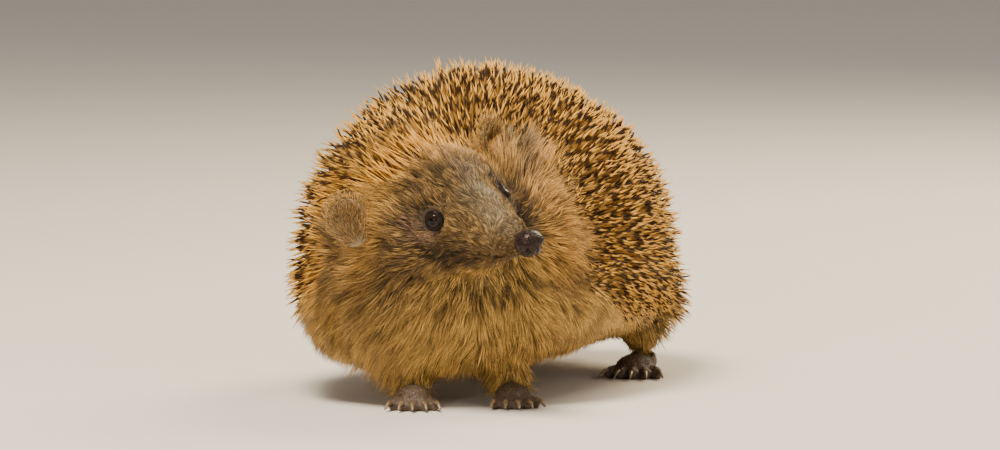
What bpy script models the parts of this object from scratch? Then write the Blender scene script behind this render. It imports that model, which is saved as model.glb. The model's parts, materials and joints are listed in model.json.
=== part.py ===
"""Life-size European hedgehog, a still model, standing with its head turned to its left.

Metres, +Z up. The chest faces -Y, the rump lies behind it to +X, and the soles stand on Z = 0.
The outer surfaces are those of the coat: the tips of the spines on the back and of the fur elsewhere.
The flesh is built whole from lofts and ellipsoids, smoothed, and then parted into its named pieces.
"""

import math

import bmesh
import bpy
from mathutils import Matrix, Vector

# ---- Driving dimensions -------------------------------------------------------------------------

GAP = 0.0003  # between neighbouring pieces
RING_SIDES = 40  # points round a loft's ring
CURVE_STEPS = 5  # rings that the loft adds between two stations
FLESH_VOXEL = 0.0015
FLESH_SMOOTHING = 14
FLESH_KEEP = 0.0232  # share of the faces kept when the smooth flesh is simplified

# The trunk's stations, from rump to breast: place on the floor plan, half the width, highest and lowest point.
TRUNK = (
    # x, y, half width, top, bottom
    (0.0325, 0.0850, 0.0030, 0.0470, 0.0380),
    (0.0315, 0.0815, 0.0175, 0.0610, 0.0230),
    (0.0285, 0.0725, 0.0315, 0.0755, 0.0135),
    (0.0230, 0.0580, 0.0425, 0.0875, 0.0095),
    (0.0135, 0.0330, 0.0525, 0.0985, 0.0085),
    (0.0028, 0.0080, 0.0572, 0.1040, 0.0085),
    (-0.0062, -0.0140, 0.0580, 0.1035, 0.0085),
    (-0.0120, -0.0320, 0.0540, 0.0930, 0.0090),
    (-0.0170, -0.0460, 0.0470, 0.0790, 0.0095),
    (-0.0205, -0.0570, 0.0380, 0.0660, 0.0105),
    (-0.0225, -0.0655, 0.0265, 0.0520, 0.0130),
    (-0.0230, -0.0700, 0.0030, 0.0330, 0.0270),
)
TRUNK_WAIST = 0.42  # height of the widest point, as a share of the way up a ring
TRUNK_ROUND_TOP = 1.93  # superellipse power: 2 is an ellipse, more is squarer
TRUNK_ROUND_BOTTOM = 2.35

# The head's own axes start midway between the eyes: forward, left and up.
HEAD_ORIGIN = Vector((-0.0062, -0.0760, 0.0635))
HEAD_HEADING = math.radians(-53.7)  # from +X, so that the nose points to -Y and +X
HEAD_PITCH = math.radians(15.0)  # nose down
HEAD_ROLL = math.radians(15.0)  # left side up
HEAD_TURN = (
    Matrix.Rotation(HEAD_HEADING, 4, "Z")
    @ Matrix.Rotation(HEAD_PITCH, 4, "Y")
    @ Matrix.Rotation(HEAD_ROLL, 4, "X")
)
HEAD = Matrix.Translation(HEAD_ORIGIN) @ HEAD_TURN

# The head's stations, from nape to nose, in its own axes.
HEAD_STATIONS = (
    # forward, height of the widest point, half width, top, bottom
    (-0.0450, -0.0050, 0.0180, 0.0140, -0.0200),
    (-0.0385, -0.0060, 0.0245, 0.0200, -0.0280),
    (-0.0290, -0.0080, 0.0272, 0.0215, -0.0315),
    (-0.0180, -0.0100, 0.0268, 0.0185, -0.0310),
    (-0.0085, -0.0105, 0.0238, 0.0150, -0.0285),
    (0.0000, -0.0095, 0.0187, 0.0115, -0.0240),
    (0.0080, -0.0070, 0.0138, 0.0085, -0.0195),
    (0.0160, -0.0045, 0.0100, 0.0064, -0.0148),
    (0.0230, -0.0025, 0.0073, 0.0051, -0.0098),
    (0.0290, -0.0008, 0.0053, 0.0044, -0.0060),
    (0.0320, 0.0000, 0.0030, 0.0028, -0.0030),
)
HEAD_ROUND_TOP = 1.75  # the forehead and bridge are a little ridged
HEAD_ROUND_BOTTOM = 2.2
HEAD_BACK = -0.034  # the head ends here and the neck begins

NECK_CENTRE = Vector((-0.0225, -0.0370, 0.0580))
NECK_RADII = (0.0360, 0.0280, 0.0350)
THROAT_CENTRE = Vector((-0.0190, -0.0590, 0.0360))
THROAT_RADII = (0.0280, 0.0175, 0.0260)
HAUNCH_CENTRES = (Vector((0.0480, 0.0430, 0.0300)), Vector((0.0030, 0.0600, 0.0300)))
HAUNCH_RADII = (0.0180, 0.0230, 0.0200)

NECK_BACK_POINT = Vector((-0.0060, -0.0340, 0.0500))  # the trunk ends at this upright plane
NECK_BACK_HEADING = math.radians(-113)
HEAD_ZONE_RADII = (0.0395, 0.0150)  # a cone that takes the head out of the flesh
HEAD_ZONE_FRONT = 0.0450
HEAD_ZONE_RISE = -0.0020

MANTLE_EDGE_POINT = Vector((0.0, -0.0350, 0.0400))  # the spines end on this sloping plane
MANTLE_EDGE_SLOPE = math.radians(-12.0)

SNOUT_BACK = 0.0125  # in the head's axes
SNOUT_FLOOR = -0.0130
MOUTH_CORNER = (0.0030, -0.0142)  # forward, up
MOUTH_TIP = (0.0290, -0.0062)
JAW_SIZE = (0.0125, 0.0085)  # half width, and depth under the mouth

NOSE_CENTRE = (0.0335, 0.0, 0.0)
NOSE_RADII = (0.0040, 0.0047, 0.0043)
NOSTRIL_CENTRE = (0.0366, 0.0024, -0.0002)
NOSTRIL_RADIUS = 0.0010

EYE_CENTRE = (0.0005, 0.0122, 0.0)  # the left eye; the right one mirrors it
EYE_RADIUS = 0.0029

EAR_CENTRES = {"left": (-0.0270, 0.0285, 0.0030), "right": (-0.0235, -0.0285, -0.0035)}
EAR_RADII = (0.0068, 0.0088, 0.0024)  # half its width, height and thickness
EAR_FACING = Vector((0.86, 0.42, 0.26))  # in the head's axes: forward, outward, up
EAR_DISH_DEPTH = 0.0018

TAIL_ROOT = Vector((0.0340, 0.0770, 0.0270))
TAIL_TIP = Vector((0.0385, 0.0920, 0.0160))
TAIL_RADII = (0.0042, 0.0018)

TOE_COUNT = 5
CLAW_SIDES = 5


class Limb:
    """Sizes of one pair of limbs: a leg on a foot with toes and claws. Lengths run forward from the heel."""

    def __init__(self, leg_radii, leg_top, leg_lean, foot, palm, toe, spread, claw):
        self.leg_radii = leg_radii  # at the ankle and where it enters the body
        self.leg_top = leg_top
        self.leg_lean = leg_lean  # how far the leg's top lies behind its foot
        self.foot_length, self.foot_height, self.heel_width = foot
        self.palm_width, self.palm_length = palm
        self.toe_length, self.toe_radius = toe
        self.spread = spread  # angle between the outer toes
        self.claw_length, self.claw_radius = claw


FORE_LIMB = Limb(
    leg_radii=(0.0062, 0.0085), leg_top=0.0300, leg_lean=0.0040,
    foot=(0.0150, 0.0085, 0.0095), palm=(0.0112, 0.0100),
    toe=(0.0062, 0.0017), spread=math.radians(46), claw=(0.0048, 0.0009),
)
HIND_LIMB = Limb(
    leg_radii=(0.0070, 0.0120), leg_top=0.0300, leg_lean=-0.0020,
    foot=(0.0330, 0.0080, 0.0100), palm=(0.0130, 0.0120),
    toe=(0.0080, 0.0019), spread=math.radians(46), claw=(0.0060, 0.0009),
)
# Each limb: its sizes, the heel's place on the floor and the way that the toes point, from +X.
LIMBS = {
    "fore_right": (FORE_LIMB, Vector((-0.0225, -0.0580, 0.0)), math.radians(-92)),
    "fore_left": (FORE_LIMB, Vector((0.0060, -0.0530, 0.0)), math.radians(-80)),
    "hind_right": (HIND_LIMB, Vector((-0.0020, 0.0700, 0.0)), math.radians(-122)),
    "hind_left": (HIND_LIMB, Vector((0.0520, 0.0500, 0.0)), math.radians(-98)),
}
FOOT_VOXEL = 0.0006
FOOT_KEEP = 0.034
FOOT_SMOOTHING = 3
SOLE_SINK = 0.0008  # how far the foot is pressed flat on the floor


# ---- Materials ----------------------------------------------------------------------------------

def material(name, colour, roughness, metallic=0.0):
    made = bpy.data.materials.new(name)
    made.use_nodes = True
    shader = made.node_tree.nodes["Principled BSDF"]
    shader.inputs["Base Color"].default_value = (*colour, 1.0)
    shader.inputs["Roughness"].default_value = roughness
    shader.inputs["Metallic"].default_value = metallic
    made.diffuse_color = (*colour, 1.0)
    return made


# ---- Modelling helpers --------------------------------------------------------------------------

def clear_scene():
    for old in list(bpy.data.objects):
        bpy.data.objects.remove(old)


def from_bmesh(name, shape):
    """An object that holds this bmesh, with its faces pointing out."""
    bmesh.ops.recalc_face_normals(shape, faces=shape.faces)
    mesh = bpy.data.meshes.new(name)
    shape.to_mesh(mesh)
    shape.free()
    made = bpy.data.objects.new(name, mesh)
    bpy.context.scene.collection.objects.link(made)
    return made


def settle(obj):
    """Applies all of the object's modifiers."""
    bpy.context.view_layer.update()
    graph = bpy.context.evaluated_depsgraph_get()
    mesh = bpy.data.meshes.new_from_object(obj.evaluated_get(graph), depsgraph=graph)
    obj.modifiers.clear()
    obj.data = mesh
    return obj


def duplicate(obj, name):
    made = bpy.data.objects.new(name, obj.data.copy())
    bpy.context.scene.collection.objects.link(made)
    return made


def boolean(obj, tool, operation):
    """Cuts, joins or intersects obj with tool, and leaves tool as it is."""
    modifier = obj.modifiers.new(operation.title(), "BOOLEAN")
    modifier.operation = operation
    modifier.solver = "EXACT"
    modifier.object = tool
    return settle(obj)


def discard(*objects):
    for obj in objects:
        bpy.data.objects.remove(obj)


def superellipse(angle, power):
    """Cosine and sine of the angle, drawn out towards a square as the power grows past 2."""
    share = 2.0 / power
    across, up = math.cos(angle), math.sin(angle)
    return (
        math.copysign(abs(across) ** share, across),
        math.copysign(abs(up) ** share, up),
    )


def between(values, step):
    """The stations' values at a fractional step, on a smooth curve through all of them."""
    low = min(int(step), len(values) - 2)
    part = step - low
    before, start, end, after = (
        values[min(max(low + k, 0), len(values) - 1)] for k in (-1, 0, 1, 2)
    )
    return [
        b + 0.5 * part * (c - a + part * (2 * a - 5 * b + 4 * c - d + part * (3 * (b - c) + d - a)))
        for a, b, c, d in zip(before, start, end, after)
    ]


def loft(name, rings):
    """A closed solid through rings of points, each ring with the same number of points."""
    shape = bmesh.new()
    loops = []
    for ring in rings:
        corners = [shape.verts.new(point) for point in ring]
        loops.append([shape.edges.new((a, b)) for a, b in zip(corners, corners[1:] + corners[:1])])
    for near, far in zip(loops, loops[1:]):
        bmesh.ops.bridge_loops(shape, edges=near + far)
    for end in (loops[0], loops[-1]):
        bmesh.ops.contextual_create(shape, geom=end)
    return from_bmesh(name, shape)


def ring(centre, left, up, half_width, rise, drop, power_top, power_bottom):
    """Points round a body's cross-section. The widest level is at centre."""
    points = []
    for k in range(RING_SIDES):
        angle = 2 * math.pi * k / RING_SIDES
        upper = math.sin(angle) >= 0
        across, height = superellipse(angle, power_top if upper else power_bottom)
        points.append(centre + left * across * half_width + up * height * (rise if upper else drop))
    return points


def stations_of(values):
    steps = (len(values) - 1) * CURVE_STEPS
    return [between(values, k / CURVE_STEPS) for k in range(steps + 1)]


def ellipsoid(name, centre, radii, turn=None, segments=32, rings=20):
    shape = bmesh.new()
    bmesh.ops.create_uvsphere(shape, u_segments=segments, v_segments=rings, radius=1.0)
    place = Matrix.Translation(centre) @ (turn or Matrix.Identity(4)) @ Matrix.Diagonal((*radii, 1.0))
    bmesh.ops.transform(shape, matrix=place, verts=shape.verts)
    return from_bmesh(name, shape)


def block(name, place, low, high):
    """A box from corner low to corner high, in the axes of place."""
    shape = bmesh.new()
    bmesh.ops.create_cube(shape, size=1.0)
    size = Vector(high) - Vector(low)
    middle = (Vector(high) + Vector(low)) / 2
    fit = place @ Matrix.Translation(middle) @ Matrix.Diagonal((*size, 1.0))
    bmesh.ops.transform(shape, matrix=fit, verts=shape.verts)
    return from_bmesh(name, shape)


def tube(name, centres, radii, sides):
    """A tapering solid along a line of centres."""
    rings = []
    for k, (centre, radius) in enumerate(zip(centres, radii)):
        ahead = centres[min(k + 1, len(centres) - 1)] - centres[max(k - 1, 0)]
        turn = ahead.to_track_quat("Z", "Y")
        rings.append([
            centre + turn @ Vector((math.cos(a), math.sin(a), 0.0)) * radius
            for a in (2 * math.pi * j / sides for j in range(sides))
        ])
    return loft(name, rings)


def fuse(name, masses, voxel, smoothing, keep):
    """One smooth closed body from overlapping masses."""
    shape = bmesh.new()
    for mass in masses:
        shape.from_mesh(mass.data)
    discard(*masses)
    whole = from_bmesh(name, shape)
    remesh = whole.modifiers.new("Remesh", "REMESH")
    remesh.mode = "VOXEL"
    remesh.voxel_size = voxel
    smooth = whole.modifiers.new("Smooth", "SMOOTH")
    smooth.factor = 0.5
    smooth.iterations = smoothing
    simplify = whole.modifiers.new("Decimate", "DECIMATE")
    simplify.ratio = keep
    return settle(whole)


def part_off(whole, name, zone, grown):
    """Takes what lies in the zone out of the whole as a new piece, and leaves the rest clear of it."""
    piece = boolean(duplicate(whole, name), zone, "INTERSECT")
    boolean(whole, grown, "DIFFERENCE")
    discard(zone, grown)
    return piece


def finish(obj, finish_material):
    obj.data.materials.clear()
    obj.data.materials.append(finish_material)
    obj.data.shade_smooth()
    obj.data.set_sharp_from_angle(angle=math.radians(50))
    return obj


# ---- The flesh ----------------------------------------------------------------------------------

def trunk_mass():
    """The domed trunk: arched rings set square to a curved line on the floor plan."""
    stations = stations_of(TRUNK)
    rings = []
    for k, (x, y, half_width, top, bottom) in enumerate(stations):
        ahead, behind = stations[min(k + 1, len(stations) - 1)], stations[max(k - 1, 0)]
        heading = Vector((ahead[0] - behind[0], ahead[1] - behind[1], 0.0)).normalized()
        left = Vector((-heading.y, heading.x, 0.0))
        waist = bottom + TRUNK_WAIST * (top - bottom)
        rings.append(ring(
            Vector((x, y, waist)), left, Vector((0, 0, 1)), half_width,
            top - waist, waist - bottom, TRUNK_ROUND_TOP, TRUNK_ROUND_BOTTOM,
        ))
    return loft("trunk_mass", rings)


def head_mass():
    """The face's cone, in the head's axes."""
    left, up = HEAD_TURN @ Vector((0, 1, 0)), HEAD_TURN @ Vector((0, 0, 1))
    rings = []
    for forward, widest, half_width, top, bottom in stations_of(HEAD_STATIONS):
        rings.append(ring(
            HEAD @ Vector((forward, 0.0, widest)), left, up, half_width,
            top - widest, widest - bottom, HEAD_ROUND_TOP, HEAD_ROUND_BOTTOM,
        ))
    return loft("head_mass", rings)


def flesh():
    """The whole body without limbs, ears and tail, smooth where its masses meet."""
    masses = [
        trunk_mass(),
        head_mass(),
        ellipsoid("neck_mass", NECK_CENTRE, NECK_RADII),
        ellipsoid("throat_mass", THROAT_CENTRE, THROAT_RADII),
    ]
    masses += [ellipsoid("haunch_mass", centre, HAUNCH_RADII) for centre in HAUNCH_CENTRES]
    return fuse("flesh", masses, FLESH_VOXEL, FLESH_SMOOTHING, FLESH_KEEP)


def front_zone(growth):
    """Everything in front of the trunk: neck and head."""
    place = Matrix.Translation(NECK_BACK_POINT) @ Matrix.Rotation(NECK_BACK_HEADING, 4, "Z")
    return block("front_zone", place, (-growth, -0.2, -0.2), (0.2, 0.2, 0.2))


def head_zone(growth):
    """A cone round the head, from its back to past the nose."""
    back = HEAD @ Vector((HEAD_BACK - growth, 0, HEAD_ZONE_RISE))
    front = HEAD @ Vector((HEAD_ZONE_FRONT, 0, 0))
    return tube("head_zone", [back, front], [radius + growth for radius in HEAD_ZONE_RADII], 24)


def underside_zone(growth):
    """Everything below the sloping plane where the spines end."""
    place = Matrix.Translation(MANTLE_EDGE_POINT) @ Matrix.Rotation(MANTLE_EDGE_SLOPE, 4, "X")
    return block("underside_zone", place, (-0.2, -0.2, -0.2), (0.2, 0.2, growth))


def snout_zone(growth):
    return block("snout_zone", HEAD, (SNOUT_BACK - growth, -0.03, SNOUT_FLOOR - growth), (0.06, 0.03, 0.03))


def jaw_zone(growth):
    """The part under the mouth line, from the mouth's corner to in front of the lip."""
    (corner_forward, corner_up), (tip_forward, tip_up) = MOUTH_CORNER, MOUTH_TIP
    rise = math.atan2(tip_up - corner_up, tip_forward - corner_forward)
    place = HEAD @ Matrix.Translation((corner_forward, 0, corner_up)) @ Matrix.Rotation(-rise, 4, "Y")
    half_width, depth = (size + growth for size in JAW_SIZE)
    return block("jaw_zone", place, (-growth, -half_width, -depth), (0.05, half_width, growth))


def parted(whole, name, zone_maker):
    return part_off(whole, name, zone_maker(0.0), zone_maker(GAP))


def divide_flesh():
    """The flesh as its named pieces."""
    whole = flesh()
    neck = parted(whole, "neck", front_zone)
    head = parted(neck, "head", head_zone)
    belly = parted(whole, "trunk_belly", underside_zone)
    whole.name = "trunk_back"
    jaw = parted(head, "lower_jaw", jaw_zone)
    snout = parted(head, "snout", snout_zone)
    return {"back": whole, "belly": belly, "neck": neck, "head": head, "jaw": jaw, "snout": snout}


# ---- Head details -------------------------------------------------------------------------------

def mirrored(place, side):
    """A point of the head's axes, on the left for side 1 and on the right for side -1."""
    return HEAD @ Vector((place[0], side * place[1], place[2]))


def nose(growth=0.0):
    """The moist pad with two nostrils."""
    made = ellipsoid("nose", HEAD @ Vector(NOSE_CENTRE), [r + growth for r in NOSE_RADII], HEAD_TURN, 14, 9)
    if growth:
        return made
    for side in (1, -1):
        nostril = ellipsoid("nostril", mirrored(NOSTRIL_CENTRE, side), [NOSTRIL_RADIUS] * 3, None, 8, 6)
        boolean(made, nostril, "DIFFERENCE")
        discard(nostril)
    return made


def eye(name, side, growth=0.0):
    radius = EYE_RADIUS + growth
    return ellipsoid(name, mirrored(EYE_CENTRE, side), [radius] * 3, HEAD_TURN, 14, 9)


def ear_place(side_name, side):
    """The ear's own axes: width along X, height along Y, and its dished face towards +Z."""
    facing = HEAD_TURN @ Vector((EAR_FACING.x, side * EAR_FACING.y, EAR_FACING.z)).normalized()
    tall = HEAD_TURN @ Vector((-0.35, side * 0.12, 1.0))
    across = tall.cross(facing).normalized()
    tall = facing.cross(across)
    turn = Matrix((across, tall, facing)).transposed().to_4x4()
    return Matrix.Translation(HEAD @ Vector(EAR_CENTRES[side_name])) @ turn


def ear(side_name, side, growth=0.0):
    """A round, thin shell with a shallow dish in its front."""
    name = f"ear_{side_name}"
    place = ear_place(side_name, side)
    radii = [radius + growth for radius in EAR_RADII]
    made = ellipsoid(name, place.translation, radii, place.to_3x3().to_4x4(), 16, 10)
    if growth:
        return made
    dish_centre = place @ Vector((0.0, 0.0, EAR_RADII[2] + EAR_RADII[2] - EAR_DISH_DEPTH))
    dish_radii = (EAR_RADII[0] * 0.86, EAR_RADII[1] * 0.86, EAR_RADII[2])
    dish = ellipsoid("dish", dish_centre, dish_radii, place.to_3x3().to_4x4(), 16, 10)
    boolean(made, dish, "DIFFERENCE")
    discard(dish)
    return made


# ---- Limbs and tail -----------------------------------------------------------------------------

def foot_axes(heel, heading):
    """Axes of a foot: forward along X from the heel, on the floor."""
    return Matrix.Translation(heel) @ Matrix.Rotation(heading, 4, "Z")


def toe_roots(limb):
    """Each toe's root on the floor plan and its angle, from one side of the foot to the other."""
    for k in range(TOE_COUNT):
        share = k / (TOE_COUNT - 1) - 0.5
        angle = share * limb.spread
        forward = limb.foot_length - limb.palm_length * 0.42 * (1 - math.cos(2.0 * share)) - limb.toe_radius
        yield Vector((forward, share * limb.palm_width * 0.86, 0.0)), angle


def foot(name, limb, heel, heading):
    """A flat foot: heel, palm and five toes, fused and pressed flat on the floor."""
    axes = foot_axes(heel, heading)
    turn = axes.to_3x3().to_4x4()
    half_height = limb.foot_height / 2
    palm_forward = limb.foot_length - limb.palm_length / 2
    masses = [
        ellipsoid(
            "palm", axes @ Vector((palm_forward, 0, half_height - SOLE_SINK)),
            (limb.palm_length * 0.62, limb.palm_width / 2, half_height), turn, 16, 10,
        ),
        ellipsoid(
            "heel", axes @ Vector((limb.foot_length * 0.36, 0, half_height - SOLE_SINK)),
            (limb.foot_length * 0.44, limb.heel_width / 2, half_height), turn, 16, 10,
        ),
    ]
    for root, angle in toe_roots(limb):
        aim = Vector((math.cos(angle), math.sin(angle), 0.0))
        middle = root + aim * limb.toe_length * 0.45
        middle.z = limb.toe_radius - SOLE_SINK + 0.0006
        radii = (limb.toe_length * 0.62, limb.toe_radius, limb.toe_radius * 1.25)
        masses.append(ellipsoid("toe", axes @ middle, radii, turn @ Matrix.Rotation(angle, 4, "Z"), 12, 8))
    made = fuse(name, masses, FOOT_VOXEL, FOOT_SMOOTHING, FOOT_KEEP)
    floor = block("floor", Matrix.Identity(4), (-0.2, -0.2, -0.05), (0.2, 0.2, 0.0))
    boolean(made, floor, "DIFFERENCE")
    discard(floor)
    return made


def leg(name, limb, heel, heading, growth=0.0):
    """A short tapering leg from inside the foot up into the body."""
    axes = foot_axes(heel, heading)
    ankle = axes @ Vector((limb.foot_length * 0.36, 0, limb.foot_height * 0.62 - growth))
    top = axes @ Vector((limb.foot_length * 0.36 - limb.leg_lean, 0, limb.leg_top + growth))
    low, high = (radius + growth for radius in limb.leg_radii)
    centres = [ankle.lerp(top, share) for share in (0.0, 0.12, 0.5, 0.88, 1.0)]
    radii = [low * 0.6, low, (low + high) / 2, high, high * 0.6]
    return tube(name, centres, radii, 16)


def claws(name, limb, heel, heading):
    """One curved claw at the end of each toe, its tip just clear of the floor."""
    axes = foot_axes(heel, heading)
    made = []
    for k, (root, angle) in enumerate(toe_roots(limb)):
        aim = Vector((math.cos(angle), math.sin(angle), 0.0))
        start = root + aim * (limb.toe_length * 0.82)
        centres = []
        for share in (0.0, 0.35, 0.7, 1.0):
            point = start + aim * limb.claw_length * share
            point.z = 0.0026 + 0.0008 * math.sin(math.pi * share) - 0.0018 * share
            centres.append(axes @ point)
        radii = [limb.claw_radius * taper for taper in (1.0, 0.95, 0.65, 0.3)]
        made.append(tube(f"claw_{name}_{k + 1}", centres, radii, CLAW_SIDES))
    return made


def tail(growth=0.0):
    """A short stub under the rump."""
    centres = [TAIL_ROOT.lerp(TAIL_TIP, share) for share in (0.0, 0.35, 0.8, 1.0)]
    thick, thin = TAIL_RADII
    radii = [thick + growth, thick * 0.9 + growth, thin * 1.3 + growth, thin * 0.6 + growth]
    return tube("tail", centres, radii, 12)


def clear_of(pieces, tool):
    """Cuts the tool's shape out of each of these pieces."""
    for piece in pieces:
        boolean(piece, tool, "DIFFERENCE")
    discard(tool)


def grow(obj, distance):
    """A copy of obj whose surface stands this far further out."""
    made = duplicate(obj, obj.name + "_grown")
    for vertex in made.data.vertices:
        vertex.co = vertex.co + vertex.normal * distance
    return made


# ---- The animal ---------------------------------------------------------------------------------

def limbs(body, skin, horn):
    """Legs, feet and claws. Each piece makes room for the one that enters it."""
    for name, (limb, heel, heading) in LIMBS.items():
        leg_piece = finish(leg(f"leg_{name}", limb, heel, heading), skin)
        foot_piece = foot(f"foot_{name}", limb, heel, heading)
        clear_of([foot_piece, body["belly"], body["back"], body["neck"]], leg(f"leg_{name}_room", limb, heel, heading, GAP))
        for claw in claws(name, limb, heel, heading):
            clear_of([foot_piece], grow(claw, GAP))
            finish(claw, horn)
        clear_of([body["belly"], body["back"], body["neck"]], grow(foot_piece, GAP))
        finish(foot_piece, skin)
        leg_piece.name = f"leg_{name}"


def head_details(body, skin, pad, glossy):
    """Nose, eyes and ears, each in a hollow of its own size."""
    clear_of([body["snout"], body["jaw"]], nose(GAP))
    finish(nose(), pad)
    for side_name, side in (("left", 1), ("right", -1)):
        clear_of([body["head"]], eye("eye_room", side, GAP))
        finish(eye(f"eye_{side_name}", side), glossy)
        clear_of([body["head"], body["neck"], body["back"]], ear(side_name, side, GAP))
        finish(ear(side_name, side), skin)


def centre_on_floor():
    """Moves the animal so that its box is centred on the origin. It already stands on Z = 0."""
    corners = [v.co for obj in bpy.data.objects for v in obj.data.vertices]
    middle = [(min(c[k] for c in corners) + max(c[k] for c in corners)) / 2 for k in (0, 1)]
    shift = Matrix.Translation((-middle[0], -middle[1], 0.0))
    for obj in bpy.data.objects:
        obj.data.transform(shift)


def main():
    clear_scene()
    spines = material("spines", (0.36, 0.26, 0.14), 0.55)
    fur = material("fur", (0.42, 0.30, 0.16), 0.85)
    face_fur = material("face_fur", (0.24, 0.17, 0.10), 0.85)
    skin = material("bare_skin", (0.30, 0.19, 0.14), 0.6)
    pad = material("nose_pad", (0.03, 0.02, 0.02), 0.2)
    glossy = material("eye", (0.01, 0.008, 0.006), 0.05)
    horn = material("claw", (0.25, 0.18, 0.12), 0.4)
    body = divide_flesh()
    limbs(body, skin, horn)
    head_details(body, skin, pad, glossy)
    tail_piece = tail()
    clear_of([body["back"], body["belly"]], tail(GAP))
    finish(tail_piece, skin)
    finish(body["back"], spines)
    for name in ("belly", "neck"):
        finish(body[name], fur)
    for name in ("head", "jaw", "snout"):
        finish(body[name], face_fur)
    centre_on_floor()


main()
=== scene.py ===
"""A hedgehog dressed for show: skin, spines, fur, eyes, nose, ears, paws and claws over its solid frame."""

import json
import math

import bmesh
import bpy
import numpy as np
from bpy.props import FloatProperty, FloatVectorProperty, IntProperty, PointerProperty
from mathutils import Matrix, Vector
from mathutils.kdtree import KDTree

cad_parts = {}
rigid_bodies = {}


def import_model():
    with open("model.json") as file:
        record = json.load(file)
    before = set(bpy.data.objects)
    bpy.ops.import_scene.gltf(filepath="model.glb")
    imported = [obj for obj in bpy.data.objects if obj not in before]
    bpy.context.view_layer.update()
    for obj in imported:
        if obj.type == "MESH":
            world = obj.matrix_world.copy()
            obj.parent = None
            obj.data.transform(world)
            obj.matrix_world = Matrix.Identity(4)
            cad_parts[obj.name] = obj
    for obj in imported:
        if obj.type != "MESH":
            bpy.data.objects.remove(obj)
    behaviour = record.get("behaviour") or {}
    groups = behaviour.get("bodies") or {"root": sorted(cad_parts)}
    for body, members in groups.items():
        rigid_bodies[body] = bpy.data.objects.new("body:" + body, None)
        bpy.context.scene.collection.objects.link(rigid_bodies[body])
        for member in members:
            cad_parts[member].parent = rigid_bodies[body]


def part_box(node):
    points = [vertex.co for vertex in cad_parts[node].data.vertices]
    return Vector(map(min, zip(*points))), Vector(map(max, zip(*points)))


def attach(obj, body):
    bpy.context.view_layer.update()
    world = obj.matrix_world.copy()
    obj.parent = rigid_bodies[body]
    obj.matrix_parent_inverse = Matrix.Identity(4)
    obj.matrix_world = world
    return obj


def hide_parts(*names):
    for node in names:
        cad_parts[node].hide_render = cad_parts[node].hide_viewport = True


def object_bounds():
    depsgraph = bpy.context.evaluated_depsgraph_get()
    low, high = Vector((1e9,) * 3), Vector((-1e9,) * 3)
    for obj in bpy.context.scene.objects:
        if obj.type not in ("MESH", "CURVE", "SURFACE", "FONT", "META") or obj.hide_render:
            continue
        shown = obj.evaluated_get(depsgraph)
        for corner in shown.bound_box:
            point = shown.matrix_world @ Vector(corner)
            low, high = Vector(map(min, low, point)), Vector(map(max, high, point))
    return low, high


bl_info = {
    "name": "Hedgehog for show",
    "version": (1, 0, 0),
    "blender": (4, 5, 0),
    "location": "View3D > Sidebar > Hedgehog",
    "description": "Dresses a solid hedgehog in skin, spines, fur, eyes, nose, ears, paws and claws",
    "category": "Object",
}

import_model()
CAD_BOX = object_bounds()

# ---- Places on the animal, from its frame


def middle(node):
    low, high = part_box(node)
    return (Vector(low) + Vector(high)) / 2


SIDES = {"left": 1.0, "right": -1.0}
NOSE = middle("nose")
EYES = {side: middle(f"eye_{side}") for side in SIDES}
BETWEEN_EYES = (EYES["left"] + EYES["right"]) / 2
FORWARD = (NOSE - BETWEEN_EYES).normalized()
BETWEEN_EYES -= FORWARD * 0.0005  # the head's axes start just behind the eyes' middles
LEFT = (EYES["left"] - EYES["right"]).normalized()
UP = FORWARD.cross(LEFT).normalized()
LEFT = UP.cross(FORWARD)
HEAD_AXES = Matrix((FORWARD, LEFT, UP)).transposed()
FEET = ["foot_fore_left", "foot_fore_right", "foot_hind_left", "foot_hind_right"]
LEGS = [foot.replace("foot", "leg") for foot in FEET]
FLESH = ["trunk_back", "trunk_belly", "neck", "head", "snout", "lower_jaw", "tail", *LEGS]

# The mouth's line in the head's axes, from its corner to under the nose: forward and up.
MOUTH = ((0.0045, -0.0135), (0.0150, -0.0096), (0.0235, -0.0076), (0.0290, -0.0066))
# The rest is in the head's axes too: forward, outward and up.
EAR_PLACES = {"left": (-0.0270, 0.0285, 0.0030), "right": (-0.0235, 0.0285, -0.0043)}
EAR_FACING = (0.86, 0.42, 0.26)
EAR_TALL = (-0.35, 0.12, 1.0)
EAR_HALF_WIDTH, EAR_HALF_HEIGHT = 0.0064, 0.0080
GAZE = (0.45, 0.85, 0.25)
EYE_PROUD = 1.04  # an eyeball's size against its node's
CLAWS = {foot: [f"{foot.replace('foot', 'claw')}_{k}" for k in range(1, 6)] for foot in FEET}


def head_point(forward, outward, up, side="left"):
    """A point given in the head's axes, on one side of the face."""
    return BETWEEN_EYES + HEAD_AXES @ Vector((forward, outward * SIDES[side], up))


def head_direction(direction, side="left"):
    forward, outward, up = direction
    return (HEAD_AXES @ Vector((forward, outward * SIDES[side], up))).normalized()


def in_head_axes(points):
    """Arrays of forward, left and up for points given in the frame."""
    return (points - np.array(BETWEEN_EYES)) @ np.array(HEAD_AXES)


# ---- What a user may change


def colour_property(name, default, description):
    return FloatVectorProperty(
        name=name, description=description, default=default, subtype="COLOR", size=3, min=0.0, max=1.0
    )


def length_property(name, default, description):
    return FloatProperty(name=name, description=description, default=default, unit="LENGTH", min=0.0)


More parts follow.
